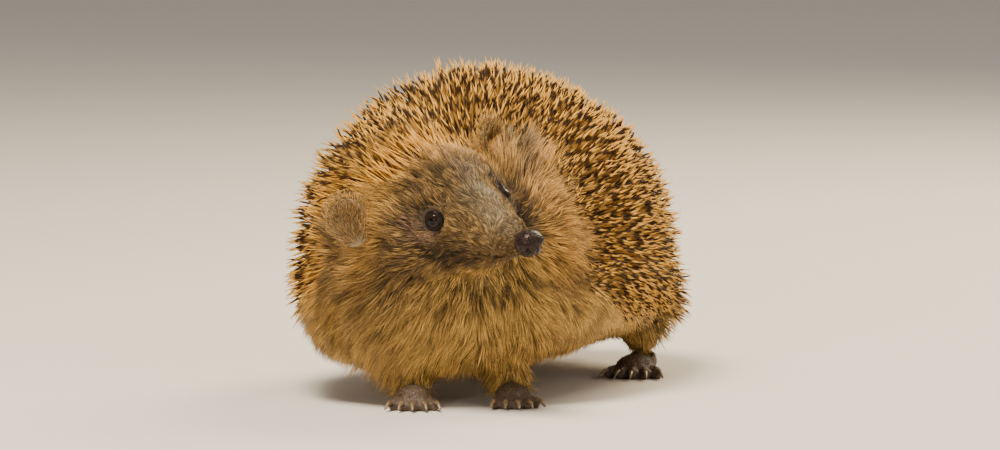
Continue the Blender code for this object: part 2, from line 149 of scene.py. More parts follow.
class HedgehogColours(bpy.types.PropertyGroup):
    spine_cream: colour_property("Spine cream", (0.560, 0.300, 0.070), "The spines' lower half")
    spine_dark: colour_property("Spine band", (0.042, 0.019, 0.007), "The dark band below each spine's tip")
    spine_tip: colour_property("Spine tip", (0.760, 0.405, 0.075), "The spines' pale tips")
    fringe: colour_property("Brow spines", (0.880, 0.460, 0.080), "The long straw spines over the brow")
    fur_olive: colour_property("Olive fur", (0.290, 0.168, 0.057), "The face's ground colour")
    fur_gold: colour_property("Golden fur", (0.660, 0.360, 0.090), "Forehead, temples and collar")
    fur_grey: colour_property("Grey fur", (0.310, 0.225, 0.125), "The bridge of the snout")
    fur_dark: colour_property("Dark fur", (0.052, 0.029, 0.012), "Round the eyes and along the mouth")
    fur_pale: colour_property("Pale fur", (0.670, 0.405, 0.110), "Chin, throat, chest and belly")
    bare_pink: colour_property("Bare pink skin", (0.360, 0.195, 0.110), "The thin-haired patch by each eye")
    hide: colour_property("Hide", (0.12, 0.068, 0.036), "Skin under the spines")
    lid: colour_property("Eyelid", (0.012, 0.007, 0.005), "The bare rims round the eyes")
    eye: colour_property("Iris", (0.016, 0.007, 0.004), "The eyes' dark brown iris")
    nose: colour_property("Nose", (0.042, 0.019, 0.011), "The moist pad")
    paw: colour_property("Paw", (0.115, 0.075, 0.052), "Skin of the toes")
    horn: colour_property("Claw", (0.26, 0.175, 0.10), "The claws' horn")
    floor: colour_property("Floor", (0.80, 0.76, 0.70), "The pale floor")


class HedgehogSizes(bpy.types.PropertyGroup):
    spine_length: length_property("Spine length", 0.0195, "Full length of a back spine")
    spine_radius: length_property("Spine radius", 0.00043, "Radius at a spine's thickest place")
    spine_spacing: length_property("Spine spacing", 0.00150, "Least distance between two roots")
    strand_radius: length_property("Hair radius", 0.00015, "Radius of a lock of face fur at its root")
    skin_voxel: length_property("Skin detail", 0.0012, "Size of the skin's first faces")
    face_strands: IntProperty(name="Face strands", description="Locks on the face", default=42000, min=0)
    body_strands: IntProperty(name="Body strands", description="Locks on the body", default=30000, min=0)


# ---- Small tools


def tint(name):
    return tuple(getattr(bpy.context.scene.hedgehog_colours, name))


def sizes():
    return bpy.context.scene.hedgehog_sizes


def only(*chosen):
    """Leaves just these objects selected, the first of them active."""
    for obj in bpy.context.view_layer.objects:
        obj.select_set(False)
    for obj in chosen:
        obj.select_set(True)
    if chosen:
        bpy.context.view_layer.objects.active = chosen[0]


def smoothstep(low, high, values):
    share = np.clip((values - low) / (high - low), 0.0, 1.0)
    return share * share * (3.0 - 2.0 * share)


def bump_of(gap, reach):
    """1 at no gap, falling smoothly to nothing past the reach."""
    return np.exp(-((gap / reach) ** 2))


def unit(vectors):
    return vectors / np.maximum(np.linalg.norm(vectors, axis=-1, keepdims=True), 1e-12)


def distance(points, centre):
    return np.linalg.norm(points - np.array(centre), axis=1)


def near(points, centre, reach):
    return bump_of(distance(points, centre), reach)


def placed(points, turn, centre):
    """Points made round the origin, turned and moved to a centre."""
    return points @ np.array(turn.transposed()) + np.array(centre)


def along_skin(ways, normals):
    """The ways without what leaves the skin, at unit length."""
    return unit(ways - normals * (ways * normals).sum(1, keepdims=True))


def read(items, name, width, kind=np.float64):
    """One property of all the points, edges, corners or triangles, as an array with that many columns."""
    found = np.empty(len(items) * width, dtype=kind)
    items.foreach_get(name, found)
    return found.reshape(-1, width)


def points_of(mesh):
    return read(mesh.vertices, "co", 3)


def normals_of(mesh):
    return read(mesh.vertices, "normal", 3)


def move_points(mesh, points):
    mesh.vertices.foreach_set("co", np.asarray(points, dtype=np.float64).ravel())
    mesh.update()


def primitive(name, shape, **settings):
    only()
    getattr(bpy.ops.mesh, f"primitive_{shape}_add")(**settings)
    bpy.context.object.name = name
    return bpy.context.object


def remesh(obj, voxel_size, passes):
    """Makes one even surface of all that the object holds, and relaxes it."""
    apply_modifier(obj, "REMESH", mode="VOXEL", voxel_size=voxel_size)
    apply_modifier(obj, "SMOOTH", factor=0.5, iterations=passes)


def edit_all(obj, step, **settings):
    """Runs one edit-mode operator on the whole of an object."""
    only(obj)
    bpy.ops.object.mode_set(mode="EDIT")
    bpy.ops.mesh.select_all(action="SELECT")
    step(**settings)
    bpy.ops.object.mode_set(mode="OBJECT")


def link_mesh(name, mesh):
    made = bpy.data.objects.new(name, mesh)
    bpy.context.scene.collection.objects.link(made)
    return made


def apply_modifier(obj, kind, **settings):
    only(obj)
    modifier = obj.modifiers.new(kind.title(), kind)
    for setting, value in settings.items():
        setattr(modifier, setting, value)
    bpy.ops.object.modifier_apply(modifier=modifier.name)


def give_attribute(mesh, name, values):
    """Stores one number, or one vector, at each of the mesh's points."""
    values = np.asarray(values, dtype=np.float32)
    if values.ndim == 1:
        mesh.attributes.new(name, "FLOAT", "POINT").data.foreach_set("value", values)
    else:
        mesh.attributes.new(name, "FLOAT_VECTOR", "POINT").data.foreach_set("vector", values.ravel())


def plain_marks(count, **amounts):
    """Markings that are nothing but what is given, as one amount or an amount for each root."""
    return {mark: np.broadcast_to(amounts.get(mark, 0.0), count) for mark in MARKS}


def give_marks(mesh, marks, times=1):
    """Stores the markings, each value as many times as a strand has points."""
    for mark, values in marks.items():
        give_attribute(mesh, mark, np.repeat(values, times))


def dress(obj, material, slot, *nodes):
    """Finishes a piece: smooth shading, material, body and the nodes that it stands for. The slot is not
    used.
    """
    obj.data.polygons.foreach_set("use_smooth", [True] * len(obj.data.polygons))
    obj.data.update()
    obj.data.materials.clear()
    obj.data.materials.append(material)
    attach(obj, "root")
    if nodes:
        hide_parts(*nodes)


def copy_of_nodes(name, nodes, growth):
    """One mesh from copies of CAD nodes, each with its points merged and a little grown."""
    shape = bmesh.new()
    for node in nodes:
        part = bmesh.new()
        part.from_mesh(bpy.data.objects[node].data)
        bmesh.ops.remove_doubles(part, verts=part.verts, dist=0.00001)
        part.normal_update()
        for vertex in part.verts:
            vertex.co += vertex.normal * growth
        piece = bpy.data.meshes.new("part")
        part.to_mesh(piece)
        part.free()
        shape.from_mesh(piece)
        bpy.data.meshes.remove(piece)
    mesh = bpy.data.meshes.new(name)
    shape.to_mesh(mesh)
    shape.free()
    return link_mesh(name, mesh)


# Each marking and the colour that it stands for, in the order that they cover each other.
MARKS = {
    "gold": "fur_gold", "grey": "fur_grey", "pale": "fur_pale", "dark": "fur_dark", "pink": "bare_pink",
}
SEEDS = {"spines": 7, "face": 11, "body": 23, "ears": 31, "paws": 41, "whiskers": 53}
SPINES_TRIED = 42000  # roots planted before they are kept apart
TAIL_HAIRS, EAR_HAIRS, PAW_HAIRS, WHISKERS = 400, 1100, 1100, 44
FLESH_GROWTH = 0.0005  # closes the seams between the flesh nodes
ROOT_DEPTH = 0.0003  # how far below the skin a strand starts
FIRST_VOXEL, PAW_VOXEL = 0.0018, 0.00042


# ---- The lie of the land: markings, coat depth and the way that the hair points


def skirt_height(y):
    """How high above the floor the lowest spines grow, from breast to rump."""
    return np.interp(y, (-0.052, -0.030, 0.0, 0.040, 0.085), (0.038, 0.031, 0.026, 0.0235, 0.022))


def spiny(points):
    """Distance into the spiny coat; below nothing is fur."""
    x, y, z = points.T
    forward, left, up = in_head_axes(points).T
    round_head = np.degrees(np.arctan2(up + 0.006, np.abs(left)))
    brow = np.interp(round_head, (-20, 0, 15, 48, 90), (-0.044, -0.035, -0.024, -0.0125, -0.0125))
    crown = brow - forward - 3.0 * np.maximum(0.0, -0.002 - up) - 3.0 * np.maximum(0.0, np.abs(left) - 0.030)
    nape = y + 0.048 - 0.012 * smoothstep(-0.015, 0.005, x)
    far_shoulder = np.minimum(x - 0.025 + 0.45 * np.maximum(0.0, z - 0.052), 1.5 * (y + 0.058))
    return np.minimum(np.maximum(np.maximum(crown, nape), far_shoulder), z - skirt_height(y))


def markings(points):
    """How much of each colour the coat has at these places, the same for skin and hair; the dark also holds
    painted shade on the far cheek and a painted shadow under the jaw.
    """
    x, y, z = points.T
    forward, left, up = in_head_axes(points).T
    out = np.abs(left)
    on_head = 1.0 - smoothstep(0.058, 0.078, distance(points, NOSE))
    stops = (-0.030, -0.010, 0.000, 0.010, 0.025)
    width = np.interp(forward, stops, (0.028, 0.025, 0.020, 0.015, 0.009))
    width = width + 0.009 * smoothstep(0.0, -0.006, left)
    on_head = on_head * (1.0 - smoothstep(width + 0.001, width + 0.005, out))
    # Dark: a band under each eye, a ring round it and the brow; painted shade on the far cheek, and a
    # painted shadow on the throat under the jaw.
    band = np.interp(forward, (-0.012, 0.0, 0.014, 0.024), (-0.0060, -0.0084, -0.0092, -0.0085))
    under_eye = bump_of(up - band, 0.0036) * smoothstep(-0.007, 0.003, forward)
    under_eye = under_eye * (1 - smoothstep(0.011, 0.022, forward))
    round_eye = bump_of(np.sqrt((forward - 0.001) ** 2 + (out - 0.0145) ** 2 + up**2), 0.0048)
    brow = bump_of(np.hypot(forward + 0.008, up - 0.0085), 0.0065) * smoothstep(0.004, 0.012, out)
    # painted shade: only the cheek on the far side, the side turned from the light, is darkened
    far_cheek_painted_shade = smoothstep(0.004, 0.010, left) * bump_of(np.hypot(forward - 0.007, up - 0.001), 0.0085)
    # painted shadow: the throat darkened just under the jaw, where the chin's shade falls
    throat = bump_of(up + 0.0245 - 0.3 * (forward - 0.010), 0.0040) * smoothstep(-0.010, 0.004, forward)
    dark = under_eye * 0.82 + round_eye * 1.25 + 0.55 * brow + 0.75 * far_cheek_painted_shade + 0.45 * throat
    dark = on_head * np.clip(dark, 0, 1)
    # Grey: the bridge of the snout, fading over the forehead.
    bridge = bump_of(left, 0.0048) * smoothstep(0.000, 0.010, forward) * smoothstep(-0.004, 0.003, up)
    forehead = 0.30 * bump_of(left, 0.009) * smoothstep(-0.022, -0.002, forward)
    grey = on_head * np.clip(bridge + forehead, 0, 1)
    # Gold: crown, temples and the collar on the body's left.
    crown = smoothstep(-0.002, -0.016, forward) * smoothstep(-0.012, 0.004, up)
    temple = smoothstep(-0.005, -0.017, forward) * smoothstep(-0.034, -0.012, up)
    collar = smoothstep(0.004, 0.018, x) * smoothstep(-0.066, -0.056, y) * smoothstep(0.036, 0.050, z)
    gold = np.maximum(np.maximum(crown * on_head, temple * on_head * 0.85), collar)
    gold = np.clip(gold, 0, 1) * (1 - 0.6 * dark)
    # Pale: the chin, and all that is low.
    chin = on_head * smoothstep(-0.0115, -0.0165, up - 0.25 * (forward - 0.010))
    chin = chin * smoothstep(-0.012, 0.006, forward)
    below = smoothstep(0.046, 0.030, z)
    pale = np.maximum(0.75 * chin, 0.75 * below * (1 - on_head)) + 0.5 * below
    pale = np.clip(pale, 0, 1) * (1 - 0.7 * dark)
    # Pink: a crescent behind and below the near eye, and a trace of it by the far one.
    crescent = bump_of(np.hypot(forward, up) - 0.0048, 0.0019)
    crescent = crescent * smoothstep(0.0, 0.0034, -(0.60 * forward + 0.95 * up))
    near_side = 1 - 0.8 * smoothstep(0.0, 0.006, left)
    pink = on_head * np.clip(crescent * smoothstep(0.009, 0.012, out), 0, 1) * near_side
    dark = dark * (1 - 0.95 * pink)
    return {"dark": dark, "grey": grey, "gold": gold, "pale": pale, "pink": pink}


def mouth_distance(points):
    """Height above the mouth's line, and how much of the line there is here."""
    forward, _, up = in_head_axes(points).T
    stops, heights = np.array(MOUTH).T
    along = smoothstep(stops[0] - 0.001, stops[0] + 0.001, forward) * smoothstep(-0.020, -0.016, up)
    return up - np.interp(forward, stops, heights), along


def spokes_from_eye(points, side):
    """Unit directions from one eye to the points, and how far off they are, as a column."""
    spokes = points - np.array(EYES[side])
    gap = np.linalg.norm(spokes, axis=1, keepdims=True)
    return spokes / np.maximum(gap, 1e-9), gap


def eye_distance(points):
    return np.minimum(*(distance(points, EYES[side]) for side in SIDES))


def coat_depth(points):
    """How far the skin lies below the coat's outer surface."""
    stops = (0.008, 0.018, 0.032, 0.050, 0.070, 0.090)
    fur = np.interp(distance(points, NOSE), stops, (0.0006, 0.0008, 0.0015, 0.0032, 0.0052, 0.0058))
    near_eye = bump_of(eye_distance(points), 0.0085)
    fur = fur * (1 - near_eye) + 0.0011 * near_eye
    low = 1.0 - smoothstep(0.012, 0.024, points[:, 2])
    squat = (1, 1, 0.45)  # legs reach further up than out
    close_to_leg = np.max([near(points * squat, middle(leg) * Vector(squat), 0.013) for leg in LEGS], axis=0)
    fur = fur * (1 - low * close_to_leg) + 0.0012 * low * close_to_leg
    under = (1.0 - smoothstep(0.016, 0.030, points[:, 2])) * smoothstep(-0.056, -0.034, points[:, 1])
    fur = fur * (1.0 - 0.45 * under)
    mantle = smoothstep(-0.006, 0.020, spiny(points))
    tail = near(points, middle("tail"), 0.010)
    depth = fur * (1 - mantle) + 0.0120 * mantle
    return depth * (1 - tail) + 0.0010 * tail


LIE_FROM = head_point(0.020, 0.0, -0.004)


def wander(points, size, seed):
    """A smooth random value, mostly from -1 to 1, that changes over about the given length."""
    chance = np.random.default_rng(seed)
    total = np.zeros(len(points))
    for _ in range(6):
        across = unit(chance.normal(size=3)) * 2 * np.pi / (size * chance.uniform(0.7, 1.5))
        total += np.sin(points @ across + chance.uniform(0, 2 * np.pi))
    return total / 2.4


def lie(points, normals, droop):
    """The way that hair and spines point at these places, along the skin: away from the face, and down."""
    away = unit(points - np.array(LIE_FROM)) + np.outer(droop, (0.0, 0.0, -1.0))
    for side in SIDES:
        spokes, gap = spokes_from_eye(points, side)
        towards = np.minimum(0.0, (away * spokes).sum(1, keepdims=True))
        away = away - spokes * towards * bump_of(gap, 0.0075) * 1.2
    return along_skin(away, normals)


# ---- Materials: sums written as Python, turned into nodes


class Number:
    """A value in a material. Sums on it add Math nodes."""

    def __init__(self, recipe, socket):
        self.recipe, self.socket = recipe, socket

    def __add__(self, other):
        return self.recipe.maths("ADD", self, other)

    def __sub__(self, other):
        return self.recipe.maths("SUBTRACT", self, other)

    def __rsub__(self, other):
        return self.recipe.maths("SUBTRACT", other, self)

    def __mul__(self, other):
        return self.recipe.maths("MULTIPLY", self, other)

    __radd__ = __add__
    __rmul__ = __mul__


class Recipe:
    """One material and the nodes that it is made with."""

    def __init__(self, name):
        self.material = bpy.data.materials.new(name)
        self.material.use_nodes = True
        self.nodes = self.material.node_tree.nodes
        self.links = self.material.node_tree.links
        self.shader = self.nodes["Principled BSDF"]

    def put(self, socket, value):
        if isinstance(value, Number):
            value = value.socket
        if isinstance(value, bpy.types.NodeSocket):
            self.links.new(value, socket)
        elif isinstance(value, tuple) and len(socket.default_value) == 4:
            socket.default_value = (*value, 1.0)
        else:
            socket.default_value = value

    def node(self, kind, settings=(), **values):
        """Any node: its settings first, then the values or links of its sockets."""
        made = self.nodes.new(kind)
        for setting, value in dict(settings).items():
            setattr(made, setting, value)
        for socket, value in values.items():
            self.put(made.inputs[socket.replace("_", " ")], value)
        return made

    def maths(self, operation, *values):
        made = self.node("ShaderNodeMath", {"operation": operation})
        for socket, value in zip(made.inputs, values):
            self.put(socket, value)
        return Number(self, made.outputs[0])

    def attribute(self, name):
        return Number(self, self.node("ShaderNodeAttribute", {"attribute_name": name}).outputs["Fac"])

    def vector_attribute(self, name):
        return self.node("ShaderNodeAttribute", {"attribute_name": name}).outputs["Vector"]

    def strand(self):
        """What each strand knows: its root's place, how far along it is, and its own tone."""
        return self.vector_attribute("root"), self.attribute("along"), self.attribute("tone")

    def place(self):
        return self.node("ShaderNodeTexCoord").outputs["Object"]

    def noise(self, place, scale, detail=2.0, roughness=0.5):
        made = self.node("ShaderNodeTexNoise", Vector=place, Scale=scale, Detail=detail, Roughness=roughness)
        return Number(self, made.outputs["Fac"])

    def cells(self, place, scale):
        made = self.node("ShaderNodeTexVoronoi", {"feature": "F1"}, Vector=place, Scale=scale)
        return Number(self, made.outputs["Distance"])

    def between(self, value, low, high):
        """0 below low and 1 above high, with a smooth rise."""
        made = self.node("ShaderNodeMapRange", {"interpolation_type": "SMOOTHSTEP"}, Value=value)
        made.inputs["From Min"].default_value = low
        made.inputs["From Max"].default_value = high
        return Number(self, made.outputs["Result"])

    def mix(self, factor, first, second):
        """A colour between two others. Inputs 6 and 7 and output 2 are the node's colours."""
        made = self.node("ShaderNodeMix", {"data_type": "RGBA"})
        self.put(made.inputs["Factor"], factor)
        self.put(made.inputs[6], first)
        self.put(made.inputs[7], second)
        return made.outputs[2]

    def blend(self, value, low, high, first, second):
        """From the first colour to the second as the value goes from low to high."""
        return self.mix(self.between(value, low, high), first, second)

    def shade(self, colour, amount):
        """The colour made lighter or darker by a factor."""
        made = self.node("ShaderNodeVectorMath", {"operation": "SCALE"})
        self.put(made.inputs[0], colour)
        self.put(made.inputs["Scale"], amount)
        return made.outputs[0]

    def bump(self, height, depth, strength):
        made = self.node("ShaderNodeBump", Height=height, Strength=strength, Distance=depth)
        return made.outputs["Normal"]

    def finish(self, **values):
        for socket, value in values.items():
            self.put(self.shader.inputs[socket.replace("_", " ")], value)
        return self.material


def marked_colour(recipe, place):
    """The fur's colour at a place: olive ground, with the head's and belly's markings over it."""
    olive = tint("fur_olive")
    patchy = recipe.noise(place, 160.0, 3.0, 0.6)
    colour = recipe.blend(patchy, 0.35, 0.7, olive, recipe.shade(olive, 0.62))
    for mark, shade in MARKS.items():
        edge = recipe.attribute(mark) + (patchy - 0.5) * 0.35
        colour = recipe.blend(edge, 0.08, 0.85, colour, tint(shade))
    return colour


def skin_material():
    """Dry, finely creased hide that darkens under the spines and in the mouth."""
    recipe = Recipe("hedgehog_skin")
    place = recipe.place()
    furred = recipe.shade(marked_colour(recipe, place), 0.55)
    hide = recipe.shade(tint("hide"), recipe.noise(place, 420.0, 4.0) * 0.8 + 0.35)
    colour = recipe.blend(recipe.attribute("mantle"), 0.2, 0.8, furred, hide)
    colour = recipe.mix(recipe.attribute("mouth"), colour, (0.012, 0.007, 0.006))
    pores = recipe.cells(place, 1500.0)
    creases = recipe.noise(place, 800.0, 5.0, 0.65)
    return recipe.finish(
        Base_Color=colour,
        Roughness=creases * 0.3 + 0.55,
        Normal=recipe.bump(creases + pores * 0.6, 0.00035, 0.8),
    )


def fur_material():
    """Locks that are dark at the root and lighter at the tip, partly their own colour and partly painted
    shade deep in the coat, each with a tone of its own.
    """
    recipe = Recipe("hedgehog_fur")
    root, along, tone = recipe.strand()
    colour = marked_colour(recipe, root)
    # darker to the root: the hair's own colour and painted shade deep in the coat, times each strand's own
    # tone
    light = (recipe.between(along, 0.05, 0.75) * 0.84 + 0.20) * (tone * tone * 1.45 + 0.42)
    colour = recipe.shade(colour, light)
    pale_tips = recipe.between(tone, 0.70, 0.86) * recipe.between(along, 0.30, 0.8) * 0.5
    colour = recipe.mix(pale_tips, colour, tint("fur_pale"))
    dark_hairs = (1.0 - recipe.between(tone, 0.10, 0.24)) * 0.6
    colour = recipe.mix(dark_hairs, colour, tint("fur_dark"))
    return recipe.finish(Base_Color=colour, Roughness=0.46, Specular_IOR_Level=0.35)


def spine_material():
    """Polished keratin: cream below, a dark band, and a pale point. Over the brow it is straw all along."""
    recipe = Recipe("hedgehog_spine")
    root, along, tone = recipe.strand()
    fringe = recipe.attribute("fringe")
    patchy = recipe.noise(root, 90.0, 2.0)
    cream = tint("spine_cream")
    cream = recipe.blend(tone, 0.2, 0.9, recipe.shade(cream, 0.62), cream)
    cream = recipe.mix(fringe * 0.9, cream, tint("fringe"))
    tip = recipe.mix(fringe * 0.7, tint("spine_tip"), tint("fringe"))
    shifted = along + (tone - 0.5) * 0.16 + (patchy - 0.5) * 0.12
    band = recipe.between(shifted, 0.52, 0.63) * (1.0 - recipe.between(shifted, 0.74, 0.84))
    band = band * (1.0 - fringe * recipe.between(tone, 0.26, 0.42) * 0.92)
    banded = recipe.blend(shifted, 0.70, 0.80, cream, tip)
    banded = recipe.mix(band, banded, tint("spine_dark"))
    # painted shade: each spine darkens towards its root, deep in the coat
    painted_root_shade = recipe.between(along, 0.0, 0.45) * 0.62 + 0.38
    streaks = recipe.noise(root, 1400.0, 2.0) * 0.4 + 0.8
    return recipe.finish(
        Base_Color=recipe.shade(banded, painted_root_shade * streaks),
        Roughness=recipe.between(along, 0.0, 1.0) * 0.08 + 0.40,
        Specular_IOR_Level=0.10,
    )


def eye_material():
    """A wet, nearly black eye with a deep brown iris round the pupil."""
    recipe = Recipe("hedgehog_eye")
    angle = recipe.attribute("from_gaze")
    fibres = recipe.noise(recipe.place(), 2600.0, 4.0, 0.7)
    iris = recipe.shade(tint("eye"), fibres * 1.6 + 0.4)
    colour = recipe.blend(angle, 0.34, 0.42, (0.002, 0.0015, 0.0015), iris)
    colour = recipe.blend(angle, 0.72, 0.86, colour, (0.010, 0.006, 0.005))
    return recipe.finish(
        Base_Color=colour,
        Roughness=0.4,
        Specular_IOR_Level=0.0,
        Coat_Weight=1.0,
        Coat_Roughness=0.02,
        Coat_IOR=1.29,
    )


def lid_material():
    """Bare dark skin, moist where it meets the eye and creased further out."""
    recipe = Recipe("hedgehog_eyelid")
    place = recipe.place()
    outward = recipe.attribute("outward")
    creases = recipe.noise(place, 1900.0, 4.0, 0.6)
    rim = recipe.shade(tint("lid"), creases * 0.9 + 0.45)
    outer = recipe.shade(marked_colour(recipe, place), 0.75)
    colour = recipe.blend(outward, 0.35, 0.95, rim, outer)
    return recipe.finish(
        Base_Color=colour,
        Roughness=recipe.between(outward, 0.05, 0.4) * 0.4 + 0.18,
        Coat_Weight=0.2 - recipe.between(outward, 0.1, 0.35) * 0.2,
        Coat_Roughness=0.1,
        Coat_IOR=1.25,
        Specular_IOR_Level=0.12,
        Normal=recipe.bump(creases, 0.00018, 0.7),
    )


def nose_material():
    """A wet pad of small pebbles."""
    recipe = Recipe("hedgehog_nose")
    place = recipe.place()
    pebbles = recipe.cells(place, 1550.0)
    gaps = recipe.between(pebbles, 0.25, 0.62)
    blotches = recipe.noise(place, 330.0, 3.0)
    colour = recipe.blend(blotches, 0.42, 0.62, tint("nose"), (0.065, 0.026, 0.018))
    colour = recipe.mix(gaps, colour, (0.010, 0.006, 0.006))
    # painted shade: the nostrils' openings near black
    colour = recipe.mix(recipe.attribute("nostril"), colour, (0.003, 0.002, 0.002))
    return recipe.finish(
        Base_Color=colour,
        Roughness=0.34 - recipe.between(blotches, 0.3, 0.7) * 0.10,
        Specular_IOR_Level=0.10,
        Coat_Weight=0.50,
        Coat_Roughness=0.07,
        Coat_IOR=1.25,
        Normal=recipe.bump(1.0 - pebbles * pebbles, 0.00030, 0.9),
    )


def ear_material():
    """Thin grey-brown skin, mottled, with a pale rim."""
    recipe = Recipe("hedgehog_ear")
    place = recipe.place()
    fine = recipe.noise(place, 1300.0, 4.0, 0.6)
    veins = recipe.noise(place, 300.0, 3.0, 0.6)
    colour = recipe.mix(veins, (0.16, 0.105, 0.048), (0.30, 0.200, 0.095))
    rim = recipe.between(recipe.attribute("rim"), 0.78, 1.0) * 0.5
    colour = recipe.mix(rim, colour, (0.34, 0.23, 0.11))
    return recipe.finish(
        Base_Color=recipe.shade(colour, fine * 0.6 + 0.65),
        Roughness=0.6,
        Normal=recipe.bump(fine, 0.0002, 0.6),
    )


def paw_material():
    """Wrinkled skin of the paws, pinker on the toes' tops and worn darker on the soles."""
    recipe = Recipe("hedgehog_paw")
    place = recipe.place()
    scales = recipe.cells(place, 1100.0)
    wrinkles = recipe.noise(place, 620.0, 5.0, 0.65)
    colour = tint("paw")
    colour = recipe.blend(wrinkles, 0.35, 0.65, recipe.shade(colour, 0.6), colour)
    colour = recipe.mix(recipe.attribute("sole"), colour, (0.11, 0.07, 0.05))
    return recipe.finish(
        Base_Color=colour,
        Roughness=wrinkles * 0.3 + 0.4,
        Normal=recipe.bump(wrinkles + scales * 0.5, 0.0004, 0.9),
    )


def claw_material():
    """Translucent-looking horn, streaked along its length."""
    recipe = Recipe("hedgehog_claw")
    place = recipe.place()
    streaks = recipe.noise(place, 900.0, 3.0)
    colour = tint("horn")
    colour = recipe.blend(streaks, 0.35, 0.65, recipe.shade(colour, 0.45), colour)
    return recipe.finish(Base_Color=colour, Roughness=0.32, Coat_Weight=0.3, Coat_Roughness=0.2)


def floor_material():
    recipe = Recipe("studio_floor")
    faint = recipe.noise(recipe.place(), 30.0, 3.0) * 0.03 + 0.985
    return recipe.finish(Base_Color=recipe.shade(tint("floor"), faint), Roughness=0.75)


# ---- Hair and spines as joined meshes


class Ground:
    """A piece's triangles, for planting roots on."""

    def __init__(self, name):
        mesh = bpy.data.objects[name].data
        mesh.calc_loop_triangles()
        self.points, self.normals = points_of(mesh), normals_of(mesh)
        self.corners = read(mesh.loop_triangles, "vertices", 3, np.int32)
        loops = read(mesh.loop_triangles, "loops", 3, np.int32)
        self.chart = read(mesh.uv_layers.active.data, "uv", 2)[loops]
        a, b, c = (self.points[self.corners[:, k]] for k in range(3))
        self.areas = np.linalg.norm(np.cross(b - a, c - a), axis=1) / 2

    def plant(self, count, density, chance):
        """Roots scattered by density, a number from 0 to 1 for each of the skin's points."""
        weights = self.areas * density[self.corners].mean(1)
        total = np.cumsum(weights)
        chosen = np.searchsorted(total, chance.random(count) * total[-1])
        first, second = np.sqrt(chance.random(count)), chance.random(count)
        shares = np.stack((1 - first, first * (1 - second), first * second), axis=1)
        corners = self.corners[chosen]
        roots = (self.points[corners] * shares[..., None]).sum(1)
        normals = unit((self.normals[corners] * shares[..., None]).sum(1))
        chart = (self.chart[chosen] * shares[..., None]).sum(1)
        return roots, normals, chart


def keep_apart(points, spacing, chance):
    """Indices of points that stand at least the spacing apart, chosen in a random order."""
    order = chance.permutation(len(points))
    cell = np.floor(points / spacing).astype(int)
    taken, kept = {}, []
    steps = [(i, j, k) for i in (-1, 0, 1) for j in (-1, 0, 1) for k in (-1, 0, 1)]
    for index in order:
        x, y, z = cell[index]
        here = points[index]
        clash = any(
            ((points[other] - here) ** 2).sum() < spacing * spacing
            for i, j, k in steps
            for other in taken.get((x + i, y + j, z + k), ())
        )
        if not clash:
            taken.setdefault((x, y, z), []).append(index)
            kept.append(index)
    return np.array(kept)


